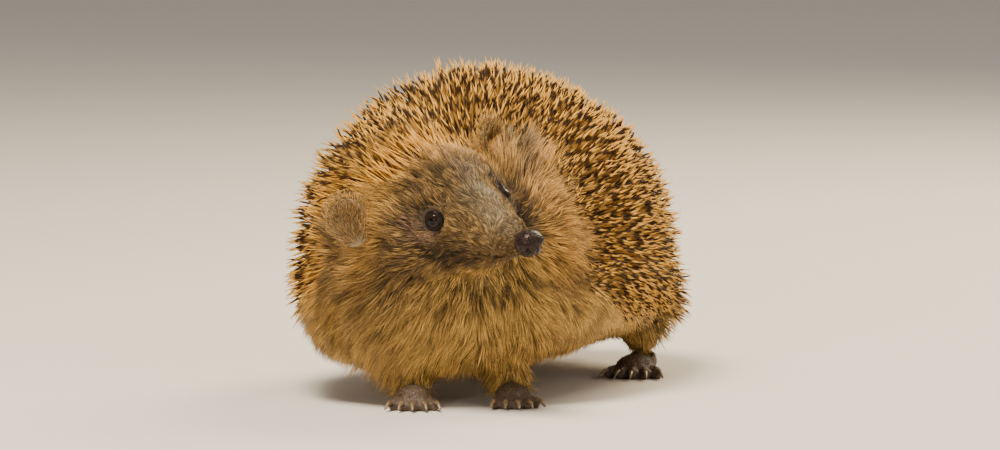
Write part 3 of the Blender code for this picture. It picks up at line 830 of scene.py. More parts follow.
class Strands:
    """Tapering curved strands, all with the same number of rings and sides, as one mesh."""

    PATCH = 0.003  # each strand's share of the unwrap

    def __init__(self, rings, sides, profile):
        self.rings, self.sides, self.profile = rings, sides, profile

    def template(self):
        """The faces of one strand, as corner numbers: side bands, a point and a closed root."""
        faces = []
        for ring in range(self.rings - 1):
            for side in range(self.sides):
                after = (side + 1) % self.sides
                low, high = ring * self.sides, (ring + 1) * self.sides
                faces.append((low + side, low + after, high + after, high + side))
        tip, last = self.rings * self.sides, (self.rings - 1) * self.sides
        faces += [(last + side, last + (side + 1) % self.sides, tip) for side in range(self.sides)]
        faces.append(tuple(reversed(range(self.sides))))
        return faces

    def build(
        self, name, roots, normals, chart, starts, ends, lengths, radii, tone,
        pull=None, flat=0.6, marks=None,
    ):
        """Starts and ends are each strand's directions at its root and tip. Pull moves the tips."""
        count = len(roots)
        shares = np.linspace(0.0, 1.0, self.rings + 1)
        step = shares[None, :, None]
        curve = step * starts[:, None] + 0.5 * step**2 * (ends - starts)[:, None]
        spine = roots[:, None] - normals[:, None] * ROOT_DEPTH + lengths[:, None, None] * curve
        if pull is not None:
            spine = spine + pull[:, None] * step**2
        ahead = unit(np.gradient(spine, axis=1))
        across = unit(np.cross(ahead, normals[:, None] + 1e-6))
        rise = np.cross(across, ahead)
        turn = 2 * np.pi * np.arange(self.sides) / self.sides
        thick = np.array([self.profile(share) for share in shares[:-1]])
        size = radii[:, None, None, None] * thick[None, :, None, None]
        ring = across[:, :-1, None] * np.cos(turn)[:, None]
        ring = ring + rise[:, :-1, None] * np.sin(turn)[:, None] * flat
        shell = spine[:, :-1, None] + ring * size
        points = np.concatenate((shell.reshape(count, -1, 3), spine[:, -1:]), axis=1)
        each = points.shape[1]
        along = np.append(np.repeat(shares[:-1], self.sides), 1.0)
        around = np.append(np.tile(np.arange(self.sides) / self.sides, self.rings), 0.5)
        faces = self.template()
        corners = np.concatenate(faces).astype(np.int32)
        face_sizes = np.array([len(face) for face in faces], dtype=np.int32)
        starts_at = np.concatenate(((0,), np.cumsum(face_sizes)[:-1]))
        offsets = np.arange(count)[:, None]
        all_corners = (corners[None] + offsets * each).ravel().astype(np.int32)
        mesh = bpy.data.meshes.new(name)
        mesh.vertices.add(count * each)
        mesh.vertices.foreach_set("co", points.ravel())
        mesh.loops.add(len(all_corners))
        mesh.loops.foreach_set("vertex_index", all_corners)
        mesh.polygons.add(count * len(faces))
        starts_at = starts_at[None] + offsets * len(corners)
        mesh.polygons.foreach_set("loop_start", starts_at.ravel().astype(np.int32))
        mesh.update(calc_edges=True)
        patch = np.stack((around - 0.5, along - 0.5), axis=1) * self.PATCH
        flat_chart = (np.clip(chart, 0.002, 0.998)[:, None] + patch[None]).reshape(-1, 2)
        flat_chart = flat_chart[all_corners].ravel().astype(np.float32)
        mesh.uv_layers.new(name="OFBake").data.foreach_set("uv", flat_chart)
        give_attribute(mesh, "root", np.repeat(roots, each, axis=0))
        give_attribute(mesh, "along", np.tile(along, count))
        give_attribute(mesh, "tone", np.repeat(tone, each))
        give_marks(mesh, markings(roots) if marks is None else marks, each)
        return link_mesh(name, mesh)


def spine_profile(share):
    """Narrow neck, long even shaft and a drawn-out point."""
    return min(1.0, 0.55 + 1.8 * share) * (1.0 - max(0.0, (share - 0.62) / 0.38) ** 1.5 * 0.88)


def hair_profile(share):
    return 1.0 - 0.80 * share**1.4


def hair_directions(normals, flow, rise, settle):
    """Directions at root and tip: the hair leaves at one angle and settles to another."""
    angles = (np.atleast_1d(angle)[:, None] for angle in (rise, settle))
    return tuple(flow * np.cos(angle) + normals * np.sin(angle) for angle in angles)


def swung(flow, normals, angles):
    """The flow turned about the normals by these angles."""
    across = np.cross(normals, flow)
    return flow * np.cos(angles)[:, None] + across * np.sin(angles)[:, None]


def locks(roots, share, chance):
    """For each strand, the leader of its lock and how near it stands."""
    leaders = chance.choice(len(roots), max(1, int(len(roots) * share)), replace=False)
    tree = KDTree(len(leaders))
    for place, leader in enumerate(leaders):
        tree.insert(roots[leader], place)
    tree.balance()
    found = [tree.find(root) for root in roots]
    return leaders[[place for _, place, _ in found]], np.array([gap for _, _, gap in found])


def lift(depth, lengths):
    """Angles at root and tip with which a strand just reaches the coat's surface."""
    sine = np.clip(depth / lengths, 0.10, 0.80)
    return np.arcsin(np.clip(1.45 * sine, 0, 0.95)), np.arcsin(0.55 * sine)


def within_box(roots, ways, lengths, proud=0.0022, clearance=0.0012):
    """Shortens what would reach the floor or stand far out of the solid model's box."""
    low, high = (np.array(corner) for corner in CAD_BOX)
    low = low - (proud, proud, -clearance)
    wall = np.where(ways > 0, high + proud, low)
    room = (wall - roots) / np.where(np.abs(ways) < 1e-6, 1e-6, ways)
    return np.minimum(lengths, np.maximum(room.min(1), 0.0008))


class Coat:
    """Plants one kind of hair over a stretch of the skin and splits it into pieces of a safe size."""

    MOST_TRIANGLES = 190000
    SIDES = 3

    def __init__(self, ground, seed):
        self.ground, self.chance = ground, np.random.default_rng(seed)

    def grow(self, name, slot, count, density, length, radius, rings, droop, wild, lock, join=0.5):
        """Length and droop are functions of the roots. Lock is the share of strands that lead the rest."""
        chance = self.chance
        roots, normals, chart = self.ground.plant(count, density, chance)
        flow = lie(roots, normals, droop(roots))
        turn = 0.30 * wander(roots, 0.012, seed=5) + 0.16 * wander(roots, 0.004, seed=6)
        flow = swung(flow, normals, turn + chance.normal(0.0, wild, count))
        lengths = length(roots) * chance.uniform(0.70, 1.18, count)
        lengths = clear_of_eyes(roots, flow, lengths)
        rise, settle = lift(coat_depth(roots), lengths)
        rise = rise + chance.normal(0.0, 0.11, count)
        settle = settle + chance.normal(0.0, 0.09, count)
        starts, ends = hair_directions(normals, flow, rise, settle)
        lengths = within_box(roots, (starts + ends) / 2, lengths)
        tips = roots + lengths[:, None] * (starts + ends) / 2
        leader, reach = locks(roots, lock, chance)
        pull = (tips[leader] - tips) * join * bump_of(reach[:, None], 0.004)
        own, slight = chance.random(count), chance.random(count)
        tone = np.clip(0.5 + 0.85 * (own[leader] - 0.5) + 0.50 * (slight - 0.5), 0, 1)
        radii = radius * chance.uniform(0.75, 1.2, count)
        strands = Strands(rings, self.SIDES, hair_profile)
        triangles = 2 * self.SIDES * (rings - 1) + self.SIDES + self.SIDES - 2
        parts = max(1, math.ceil(count * triangles / self.MOST_TRIANGLES))
        order = np.argsort(roots[:, 0] + 0.2 * roots[:, 2])
        values = (roots, normals, chart, starts, ends, lengths, radii, tone, pull)
        for number, chosen in enumerate(np.array_split(order, parts), start=1):
            title = f"{name}_{number}" if parts > 1 else name
            made = strands.build(title, *(each[chosen] for each in values))
            dress(made, bpy.data.materials["hedgehog_fur"], slot)


def grow_fine(name, slot, strands, planted, ways, lengths, radius, tone, **settings):
    """A few hairs of one thickness, as one piece."""
    radii = np.full(len(lengths), radius)
    made = strands.build(name, *planted, *ways, lengths, radii, tone, **settings)
    dress(made, bpy.data.materials["hedgehog_fur"], slot)


def clear_of_eyes(roots, flow, lengths):
    """Shortens the hair that would cross an eye."""
    for side in SIDES:
        spokes, gap = spokes_from_eye(roots, side)
        gap = gap[:, 0]
        heading = (flow * spokes).sum(1)
        room = np.maximum(0.0012, gap - 0.0036)
        lengths = np.where((heading < 0.3) & (gap < 0.012), np.minimum(lengths, room), lengths)
    return lengths


# ---- The pieces


def inset_flesh():
    """The flesh nodes as one surface, moved inward by the depth of the coat."""
    skin = copy_of_nodes("skin", FLESH, FLESH_GROWTH)
    remesh(skin, FIRST_VOXEL, 3)
    points = points_of(skin.data)
    depth = coat_depth(points) + FLESH_GROWTH
    edges = read(skin.data.edges, "vertices", 2, np.int32)
    count = len(points)
    meets = np.bincount(edges.ravel(), minlength=count)
    first, second = edges.T
    for _ in range(12):
        summed = np.bincount(first, depth[second], count) + np.bincount(second, depth[first], count)
        depth = 0.5 * depth + 0.5 * summed / meets
    steps = 6
    for _ in range(steps):
        normals = normals_of(skin.data)
        move_points(skin.data, points_of(skin.data) - normals * (depth / steps)[:, None])
        apply_modifier(skin, "SMOOTH", factor=0.4, iterations=2)
    remesh(skin, sizes().skin_voxel, 2)
    return skin


def refine(skin, wanted):
    """Cuts each face whose middle is wanted into four."""
    shape = bmesh.new()
    shape.from_mesh(skin.data)
    centres = np.array([face.calc_center_median() for face in shape.faces])
    chosen = np.flatnonzero(wanted(centres))
    shape.faces.ensure_lookup_table()
    edges = list({edge for index in chosen for edge in shape.faces[index].edges})
    bmesh.ops.subdivide_edges(shape, edges=edges, cuts=1, use_grid_fill=True)
    bmesh.ops.triangulate(shape, faces=[face for face in shape.faces if len(face.verts) > 4])
    shape.to_mesh(skin.data)
    shape.free()


def on_face(points):
    forward, left, _ = in_head_axes(points).T
    return (forward > -0.014) & (np.abs(left) < 0.024)


def on_mouth_or_eye(points):
    above, _ = mouth_distance(points)
    forward = in_head_axes(points)[:, 0]
    on_mouth = (np.abs(above) < 0.0018) & (forward > 0.002)
    return (eye_distance(points) < 0.0085) | on_mouth | (forward > 0.024)


def sculpt_face(skin):
    """Sinks the eyes' sockets and the mouth's line, and raises brows, cheeks and lips."""
    points, normals = points_of(skin.data), normals_of(skin.data)
    forward, left, up = in_head_axes(points).T
    out = np.abs(left)
    height = np.zeros(len(points))
    for side in SIDES:
        gaze = np.array(head_direction(GAZE, side))
        spokes = points - np.array(EYES[side])
        off_axis = np.linalg.norm(spokes - np.outer(spokes @ gaze, gaze), axis=1)
        facing = smoothstep(0.0, 0.003, spokes @ gaze)
        height -= 0.0011 * bump_of(off_axis, 0.0036) * facing
        height += 0.0006 * bump_of(off_axis - 0.0058, 0.0018) * facing
    brow = bump_of(np.hypot(forward + 0.003, up - 0.0065), 0.0040)
    cheek = bump_of(np.hypot(forward + 0.004, up + 0.0120), 0.0060)
    height += 0.0009 * brow * smoothstep(0.006, 0.012, out)
    height += 0.0008 * cheek * smoothstep(0.008, 0.016, out)
    above, along = mouth_distance(points)
    lip = along * smoothstep(0.0005, 0.0040, out)
    height -= 0.0012 * lip * bump_of(above, 0.00042)
    height += 0.0004 * lip * bump_of(above - 0.0012, 0.0008)
    height += 0.0003 * lip * bump_of(above + 0.0012, 0.0009)
    philtrum = 0.0004 * bump_of(left, 0.0006) * smoothstep(0.024, 0.028, forward)
    height -= philtrum * smoothstep(0.0, -0.003, up)
    folds = np.sin(out * 2600 + forward * 900) * bump_of(np.hypot(forward - 0.012, up + 0.002), 0.008)
    height += 0.00008 * folds
    move_points(skin.data, points + normals * height[:, None])


def mark_skin(skin):
    points = points_of(skin.data)
    give_marks(skin.data, markings(points))
    give_attribute(skin.data, "mantle", smoothstep(-0.002, 0.006, spiny(points)))
    above, along = mouth_distance(points)
    out = np.abs(in_head_axes(points)[:, 1])
    give_attribute(skin.data, "mouth", along * bump_of(above, 0.00055) * smoothstep(0.0, 0.002, out))


def unwrap(obj):
    edit_all(obj, bpy.ops.uv.smart_project, angle_limit=math.radians(66), island_margin=0.002)
    obj.data.uv_layers.active.name = "OFBake"


class HEDGEHOG_OT_skin(bpy.types.Operator):
    """One seamless skin inside the flesh, by the depth of the coat, with sockets, brows, cheeks and mouth"""

    bl_idname = "hedgehog.skin"
    bl_label = "Skin"

    def execute(self, context):
        skin = inset_flesh()
        refine(skin, on_face)
        apply_modifier(skin, "SMOOTH", factor=0.5, iterations=2)
        refine(skin, on_mouth_or_eye)
        sculpt_face(skin)
        unwrap(skin)
        mark_skin(skin)
        dress(skin, skin_material(), "fur", *FLESH)
        return {"FINISHED"}


def turn_to(direction, upward=UP):
    """A rotation that sends +Z to the direction and keeps +Y as near upward as it can."""
    facing = direction.normalized()
    across = upward.cross(facing).normalized()
    return Matrix((across, facing.cross(across), facing)).transposed()


def eye_radius(side):
    low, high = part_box(f"eye_{side}")
    return (high[2] - low[2]) / 2 * EYE_PROUD


def at_eye(points, side):
    """Points made round +Z, turned to the gaze and moved to one eye."""
    return placed(points, turn_to(head_direction(GAZE, side)), EYES[side])


class HEDGEHOG_OT_eyes(bpy.types.Operator):
    """Two wet round eyes, each with a slightly bulging cornea"""

    bl_idname = "hedgehog.eyes"
    bl_label = "Eyes"

    def execute(self, context):
        wet = eye_material()
        for side in SIDES:
            radius = eye_radius(side)
            ball = primitive(f"eyeball_{side}", "uv_sphere", segments=48, ring_count=32, radius=radius)
            points = points_of(ball.data)
            angle = np.arccos(np.clip(points[:, 2] / radius, -1, 1))
            points *= (1 + 0.05 * bump_of(angle, 0.62))[:, None]
            move_points(ball.data, at_eye(points, side))
            give_attribute(ball.data, "from_gaze", angle)
            dress(ball, wet, "eye", f"eye_{side}")
        return {"FINISHED"}


def lid_ring(name, side):
    """A closed ring of lid round one eye: a wet rim on the ball, a soft fold, and an edge under the skin."""
    ball = eye_radius(side)
    sides = 64
    # Degrees past the opening, distance from the ball's centre, and how far outward that counts.
    profile = (
        (-6, 0.92 * ball, 0.0),
        (0, ball + 0.00010, 0.0),
        (5, ball + 0.00036, 0.10),
        (13, ball + 0.00052, 0.22),
        (23, ball + 0.00040, 0.40),
        (34, ball + 0.00034, 0.60),
        (47, ball + 0.00020, 0.85),
        (60, ball - 0.0004, 1.0),
        (52, ball - 0.0014, 1.0),
        (22, 0.86 * ball, 0.2),
    )
    points, outward = [], []
    for stop, (past, level, share) in enumerate(profile):
        for k in range(sides):
            turn = 2 * math.pi * k / sides
            upper = max(0.0, math.sin(turn))
            lower = max(0.0, -math.sin(turn))
            corner = abs(math.cos(turn)) ** 6
            opening = 50.0 + 5.0 * corner - 6.0 * upper**2 - 2.0 * lower**2
            hood = (0.00032 * upper + 0.00010 * lower) * math.exp(-(((past - 16) / 12) ** 2))
            crease = -0.00022 * upper * math.exp(-(((past - 30) / 6) ** 2))
            angle = math.radians(opening + past)
            reach = level + (hood + crease if 1 <= stop <= 6 else 0.0)
            flat = math.sin(angle) * reach
            points.append((math.cos(turn) * flat, math.sin(turn) * flat, math.cos(angle) * reach))
            outward.append(share)
    faces = []
    for stop in range(len(profile)):
        after = (stop + 1) % len(profile)
        for k in range(sides):
            beside = (k + 1) % sides
            low, high = stop * sides, after * sides
            faces.append((low + k, low + beside, high + beside, high + k))
    mesh = bpy.data.meshes.new(name)
    mesh.from_pydata(at_eye(np.array(points), side).tolist(), [], faces)
    lid = link_mesh(name, mesh)
    give_attribute(mesh, "outward", outward)
    apply_modifier(lid, "SUBSURF", levels=1, render_levels=1)
    edit_all(lid, bpy.ops.mesh.normals_make_consistent, inside=False)
    give_marks(lid.data, markings(points_of(lid.data)))
    return lid


class HEDGEHOG_OT_lids(bpy.types.Operator):
    """Bare dark eyelids round each eye"""

    bl_idname = "hedgehog.lids"
    bl_label = "Eyelids"

    def execute(self, context):
        bare = lid_material()
        for side in SIDES:
            dress(lid_ring(f"eyelids_{side}", side), bare, "bare_skin")
        return {"FINISHED"}


class HEDGEHOG_OT_nose(bpy.types.Operator):
    """The moist nose pad with two nostrils, their side slits and a groove down its middle"""

    bl_idname = "hedgehog.nose"
    bl_label = "Nose"

    def execute(self, context):
        pad = primitive("nose_pad", "uv_sphere", segments=72, ring_count=48, radius=1.0)
        away = unit(points_of(pad.data))
        turned = away[:, (2, 0, 1)]  # the sphere's pole points forward
        forward, left, up = turned.T
        radius = np.ones(len(turned))
        nostril = np.zeros(len(turned))
        for side in SIDES.values():
            hole = unit(np.array((0.74, 0.64 * side, -0.16)))
            slit = unit(np.array((0.40, 0.88 * side, -0.34)))
            wing = unit(np.array((0.62, 0.74 * side, 0.26)))
            radius -= 0.30 * near(turned, hole, 0.23)
            radius -= 0.16 * near(turned, slit, 0.20)
            radius += 0.05 * near(turned, wing, 0.26)
            nostril += near(turned, hole, 0.19) + 0.7 * near(turned, slit, 0.16)
        radius -= 0.10 * bump_of(left, 0.07) * smoothstep(0.0, 0.4, forward) * smoothstep(0.45, 0.0, up)
        radius += 0.04 * bump_of(np.hypot(forward - 0.75, up - 0.55), 0.4)
        shaped = turned * radius[:, None] * np.array((0.0041, 0.0047, 0.0043))
        shaped[:, 0] = np.where(shaped[:, 0] < 0, shaped[:, 0] * 1.15, shaped[:, 0] * 0.98)
        move_points(pad.data, placed(shaped, HEAD_AXES, NOSE))
        give_attribute(pad.data, "nostril", np.clip(nostril, 0, 1))
        dress(pad, nose_material(), "nose_pad", "nose")
        return {"FINISHED"}


class HEDGEHOG_OT_ears(bpy.types.Operator):
    """Two small round ears, each a thin dished shell with a rolled rim and an inner fold"""

    bl_idname = "hedgehog.ears"
    bl_label = "Ears"

    def execute(self, context):
        thin = ear_material()
        for side in SIDES:
            ear = primitive(f"ear_shell_{side}", "grid", x_subdivisions=22, y_subdivisions=26, size=2.0)
            a, b, _ = points_of(ear.data).T
            x, y = a * np.sqrt(1 - b * b / 2), b * np.sqrt(1 - a * a / 2)
            edge = np.clip(np.hypot(x, y), 0, 1)
            depth = 0.0030 * edge**2.2 - 0.0014
            depth = depth - 0.0012 * smoothstep(0.82, 1.0, edge) * smoothstep(-0.7, 0.2, y)
            depth = depth + 0.0009 * bump_of(np.hypot(x + 0.25, (y + 0.10) * 0.6), 0.16)
            depth = depth - 0.0016 * smoothstep(-0.4, -1.0, y)
            shaped = np.stack((x * EAR_HALF_WIDTH * (1 + 0.10 * y), y * EAR_HALF_HEIGHT, depth), axis=1)
            turn = turn_to(head_direction(EAR_FACING, side), head_direction(EAR_TALL, side))
            move_points(ear.data, placed(shaped, turn, head_point(*EAR_PLACES[side], side)))
            give_attribute(ear.data, "rim", edge)
            apply_modifier(ear, "SOLIDIFY", thickness=0.0009, offset=0.0)
            apply_modifier(ear, "SUBSURF", levels=1, render_levels=1)
            ear.data.uv_layers.active.name = "OFBake"
            dress(ear, thin, "bare_skin", f"ear_{side}")
        return {"FINISHED"}


class HEDGEHOG_OT_paws(bpy.types.Operator):
    """Four plantigrade paws with creased toes and darker soles"""

    bl_idname = "hedgehog.paws"
    bl_label = "Paws"

    def execute(self, context):
        creased = paw_material()
        for node in FEET:
            paw = copy_of_nodes(node.replace("foot", "paw"), [node], 0.0001)
            remesh(paw, PAW_VOXEL, 3)
            points, normals = points_of(paw.data), normals_of(paw.data)
            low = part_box(node)[0][2]
            rings = np.sin(points[:, 0] * 5200 + points[:, 1] * 6800) * smoothstep(0.0, 0.001, points[:, 2])
            points = points + normals * (0.00005 * rings)[:, None]
            points[:, 2] = np.maximum(points[:, 2], low)
            move_points(paw.data, points)
            give_attribute(paw.data, "sole", 1 - smoothstep(0.0004, 0.0014, points[:, 2]))
            dress(paw, creased, "bare_skin", node)
        return {"FINISHED"}


class HEDGEHOG_OT_claws(bpy.types.Operator):
    """Slim curved claws, the five of each foot as one piece"""

    bl_idname = "hedgehog.claws"
    bl_label = "Claws"

    def execute(self, context):
        horn = claw_material()
        for foot, nodes in CLAWS.items():
            claws = copy_of_nodes(foot.replace("foot", "claws"), nodes, 0.00008)
            apply_modifier(claws, "SUBSURF", levels=2, render_levels=2)
            dress(claws, horn, "claw", *nodes)
        return {"FINISHED"}


class HEDGEHOG_OT_spines(bpy.types.Operator):
    """The coat of spines, from brow to rump"""

    bl_idname = "hedgehog.spines"
    bl_label = "Spines"

    def execute(self, context):
        chance = np.random.default_rng(SEEDS["spines"])
        ground = Ground("skin")
        density = smoothstep(-0.0015, 0.0015, spiny(ground.points))
        planted = ground.plant(SPINES_TRIED, density, chance)
        kept = keep_apart(planted[0], sizes().spine_spacing, chance)
        roots, normals, chart = (values[kept] for values in planted)
        count = len(roots)
        within = spiny(roots)
        brow = (1 - smoothstep(0.003, 0.024, within)) * (1 - smoothstep(0.075, 0.100, distance(roots, NOSE)))
        brow = brow * (1 - smoothstep(0.008, 0.024, in_head_axes(roots)[:, 1]))
        flow = lie(roots, normals, 0.25 * smoothstep(0.06, 0.03, roots[:, 2]))
        turn = 0.22 * wander(roots, 0.022, seed=8) + chance.normal(0.0, 1.0, count) * (0.34 - 0.22 * brow)
        flow = swung(flow, normals, turn)
        far_flank = smoothstep(0.0, 0.030, roots[:, 0]) * smoothstep(0.045, 0.0, roots[:, 1])
        edge = smoothstep(0.0, 0.014, within)
        lengths = sizes().spine_length * (0.78 + 0.22 * edge) * (1 - 0.27 * far_flank) * (1 + 0.12 * brow)
        lengths = lengths * chance.uniform(0.86, 1.06, count)
        height = coat_depth(roots) - 0.0014 * edge
        unruly = chance.normal(0.0, 0.15, count).clip(-0.5, 0.2) * (1 - 0.5 * brow)
        rise = np.arcsin(np.clip(height / lengths, 0.10, 0.88)) + unruly
        starts, ends = hair_directions(normals, flow, rise + 0.12, rise - 0.12)
        lengths = within_box(roots, (starts + ends) / 2, lengths)
        radii = sizes().spine_radius * (0.72 + 0.28 * edge) * (1 - 0.34 * brow)
        radii = radii * chance.uniform(0.85, 1.12, count)
        values = (roots, normals, chart, starts, ends, lengths, radii, chance.random(count))
        material = spine_material()
        strands = Strands(rings=5, sides=5, profile=spine_profile)
        names = ("spines_crown", "spines_shoulder", "spines_back", "spines_rump")
        for name, chosen in zip(names, np.array_split(np.argsort(roots[:, 1]), len(names))):
            marks = {"fringe": brow[chosen]}
            made = strands.build(name, *(each[chosen] for each in values), flat=1.0, marks=marks)
            dress(made, material, "spines")
        return {"FINISHED"}


def constant(value):
    return lambda roots: np.full(len(roots), value)


def bare_places(points):
    """1 where hair may grow, 0 on the nose, lids and lips."""
    above, along = mouth_distance(points)
    free = smoothstep(0.0034, 0.0040, eye_distance(points))
    free = free * smoothstep(0.0046, 0.0056, distance(points, NOSE))
    return free * (1 - 0.9 * along * bump_of(above, 0.0005))


class HEDGEHOG_OT_face_fur(bpy.types.Operator):
    """Short fur of muzzle, face and forehead, in fine locks"""

    bl_idname = "hedgehog.face_fur"
    bl_label = "Face fur"

    def execute(self, context):
        fur_material()
        ground = Ground("skin")
        points = ground.points
        from_nose = distance(points, NOSE)
        furry = 1 - smoothstep(-0.001, 0.003, spiny(points))
        bare = bare_places(points)
        pink = 1 - 0.85 * markings(points)["pink"]
        muzzle = 1 - smoothstep(0.026, 0.034, from_nose)
        face = (1 - muzzle) * (1 - smoothstep(0.064, 0.076, from_nose))
        all_strands = sizes().face_strands
        radius = sizes().strand_radius

        def short(roots):
            return np.interp(distance(roots, NOSE), (0.005, 0.012, 0.034), (0.0015, 0.0031, 0.0056))

        def longer(roots):
            forward, left, up = in_head_axes(roots).T
            crown = smoothstep(0.002, 0.014, up) * smoothstep(0.0, -0.012, forward)
            throat = smoothstep(-0.012, -0.022, up)
            stops = (0.030, 0.045, 0.062, 0.075)
            base = np.interp(distance(roots, NOSE), stops, (0.0048, 0.0068, 0.0090, 0.0105))
            before_ear = smoothstep(-0.004, -0.012, forward) * smoothstep(-0.030, -0.022, forward)
            before_ear = before_ear * smoothstep(0.012, 0.018, np.abs(left))
            bare = 1 - 0.5 * markings(roots)["pink"]
            return base * (1 + 0.35 * crown + 0.35 * throat + 0.55 * before_ear) * bare

        def hang(roots):
            return 0.55 * smoothstep(-0.008, -0.020, in_head_axes(roots)[:, 2])

        coat = Coat(ground, SEEDS["face"])
        coat.grow(
            "fur_muzzle", "face_fur", int(all_strands * 0.30), muzzle * furry * bare * pink,
            short, radius * 0.85, rings=2, droop=hang, wild=0.14, lock=0.25,
        )
        coat.grow(
            "fur_face", "face_fur", int(all_strands * 0.70), face * furry * bare * pink,
            longer, radius, rings=3, droop=hang, wild=0.15, lock=0.14,
        )
        return {"FINISHED"}


class HEDGEHOG_OT_body_fur(bpy.types.Operator):
    """Long coarse fur of collar, throat, chest, belly and legs"""

    bl_idname = "hedgehog.body_fur"
    bl_label = "Body fur"

    def execute(self, context):
        ground = Ground("skin")
        points = ground.points
        furry = 1 - smoothstep(-0.001, 0.004, spiny(points))
        off_face = smoothstep(0.058, 0.072, distance(points, NOSE))
        front = smoothstep(-0.030, -0.044, points[:, 1])
        on_leg = 1 - smoothstep(0.013, 0.016, points[:, 2])
        tail = near(points, middle("tail"), 0.007)
        belly = furry * off_face * (1 - front) * (1 - on_leg) * (1 - tail)
        radius = sizes().strand_radius
        all_strands = sizes().body_strands

        def droop(roots):
            return 0.15 + 0.75 * smoothstep(0.056, 0.030, roots[:, 2])

        def chest_length(roots):
            return np.interp(roots[:, 2], (0.012, 0.022, 0.045, 0.075), (0.0075, 0.0125, 0.0155, 0.0115))

        coat = Coat(ground, SEEDS["body"])
        coat.grow(
            "fur_chest", "fur", int(all_strands * 0.50), furry * off_face * front * (1 - on_leg),
            chest_length, radius * 1.2, rings=4, droop=droop, wild=0.18, lock=0.07, join=0.65,
        )
        coat.grow(
            "fur_belly", "fur", int(all_strands * 0.32), belly,
            constant(0.0105), radius * 1.3, rings=3, droop=droop, wild=0.22, lock=0.10,
        )
        coat.grow(
            "fur_legs", "fur", int(all_strands * 0.16), on_leg * off_face,
            constant(0.0045), radius * 0.95, rings=2, droop=constant(1.2), wild=0.18, lock=0.14,
        )
        coat.grow(
            "fur_tail", "fur", TAIL_HAIRS, tail,
            constant(0.0035), radius * 0.9, rings=2, droop=constant(0.2), wild=0.2, lock=0.2,
        )
        return {"FINISHED"}


class HEDGEHOG_OT_ear_fur(bpy.types.Operator):
    """Short fur on both faces of each ear, lying towards the rim"""

    bl_idname = "hedgehog.ear_fur"
    bl_label = "Ear fur"

    def execute(self, context):
        for side in SIDES:
            chance = np.random.default_rng(SEEDS["ears"])
            ground = Ground(f"ear_shell_{side}")
            planted = ground.plant(EAR_HAIRS, np.ones(len(ground.points)), chance)
            roots, normals, _ = planted
            centre = np.array(head_point(*EAR_PLACES[side], side))
            foot = centre - np.array(head_direction(EAR_TALL, side)) * 0.0085
            flow = along_skin(roots - foot, normals)
            flow = swung(flow, normals, chance.normal(0, 0.30, EAR_HAIRS))
            inner = smoothstep(-0.2, 0.4, normals @ np.array(head_direction(EAR_FACING, side)))
            lengths = chance.uniform(0.0020, 0.0040, EAR_HAIRS) * (1 + 0.3 * inner)
            rise = chance.normal(0.55, 0.12, EAR_HAIRS)
            ways = hair_directions(normals, flow, rise, settle=0.22)
            tone = 0.25 + 0.75 * chance.random(EAR_HAIRS)
            marks = plain_marks(EAR_HAIRS, grey=0.25 * inner + 0.15, gold=0.70 - 0.10 * inner)
            strands = Strands(rings=3, sides=3, profile=hair_profile)
            grow_fine(
                f"ear_fur_{side}", "face_fur", strands, planted, ways, lengths, 0.00012, tone, marks=marks
            )
        return {"FINISHED"}


class HEDGEHOG_OT_paw_fur(bpy.types.Operator):
    """Sparse short hair on the paws' backs, lying towards the toes"""

    bl_idname = "hedgehog.paw_fur"
    bl_label = "Paw fur"

    def execute(self, context):
        for node in FEET:
            chance = np.random.default_rng(SEEDS["paws"])
            paw = bpy.data.objects[node.replace("foot", "paw")]
            unwrap(paw)
            ground = Ground(paw.name)
            toes = middle(CLAWS[node][2])
            heel = middle(node.replace("foot", "leg"))
            ahead = np.array((toes.x - heel.x, toes.y - heel.y, 0.0))
            reach = np.linalg.norm(ahead)
            ahead = ahead / reach
            along = (ground.points - np.array(heel)) @ ahead / reach
            upper = smoothstep(0.0015, 0.0035, ground.points[:, 2])
            upper = upper * smoothstep(0.1, 0.5, ground.normals[:, 2])
            density = upper * (1 - 0.9 * smoothstep(0.45, 0.85, along))
            planted = ground.plant(PAW_HAIRS, density, chance)
            roots, normals, _ = planted
            flow = along_skin(ahead + np.array((0, 0, -0.4)), normals)
            flow = swung(flow, normals, chance.normal(0, 0.25, PAW_HAIRS))
            lengths = chance.uniform(0.0014, 0.0028, PAW_HAIRS)
            ways = hair_directions(normals, flow, rise=0.35, settle=0.02)
            lengths = within_box(roots, sum(ways) / 2, lengths, clearance=0.0004)
            tone = chance.random(PAW_HAIRS)
            marks = plain_marks(PAW_HAIRS, dark=0.35)
            strands = Strands(rings=2, sides=3, profile=hair_profile)
            grow_fine(f"{paw.name}_fur", "fur", strands, planted, ways, lengths, 0.00010, tone, marks=marks)
        return {"FINISHED"}


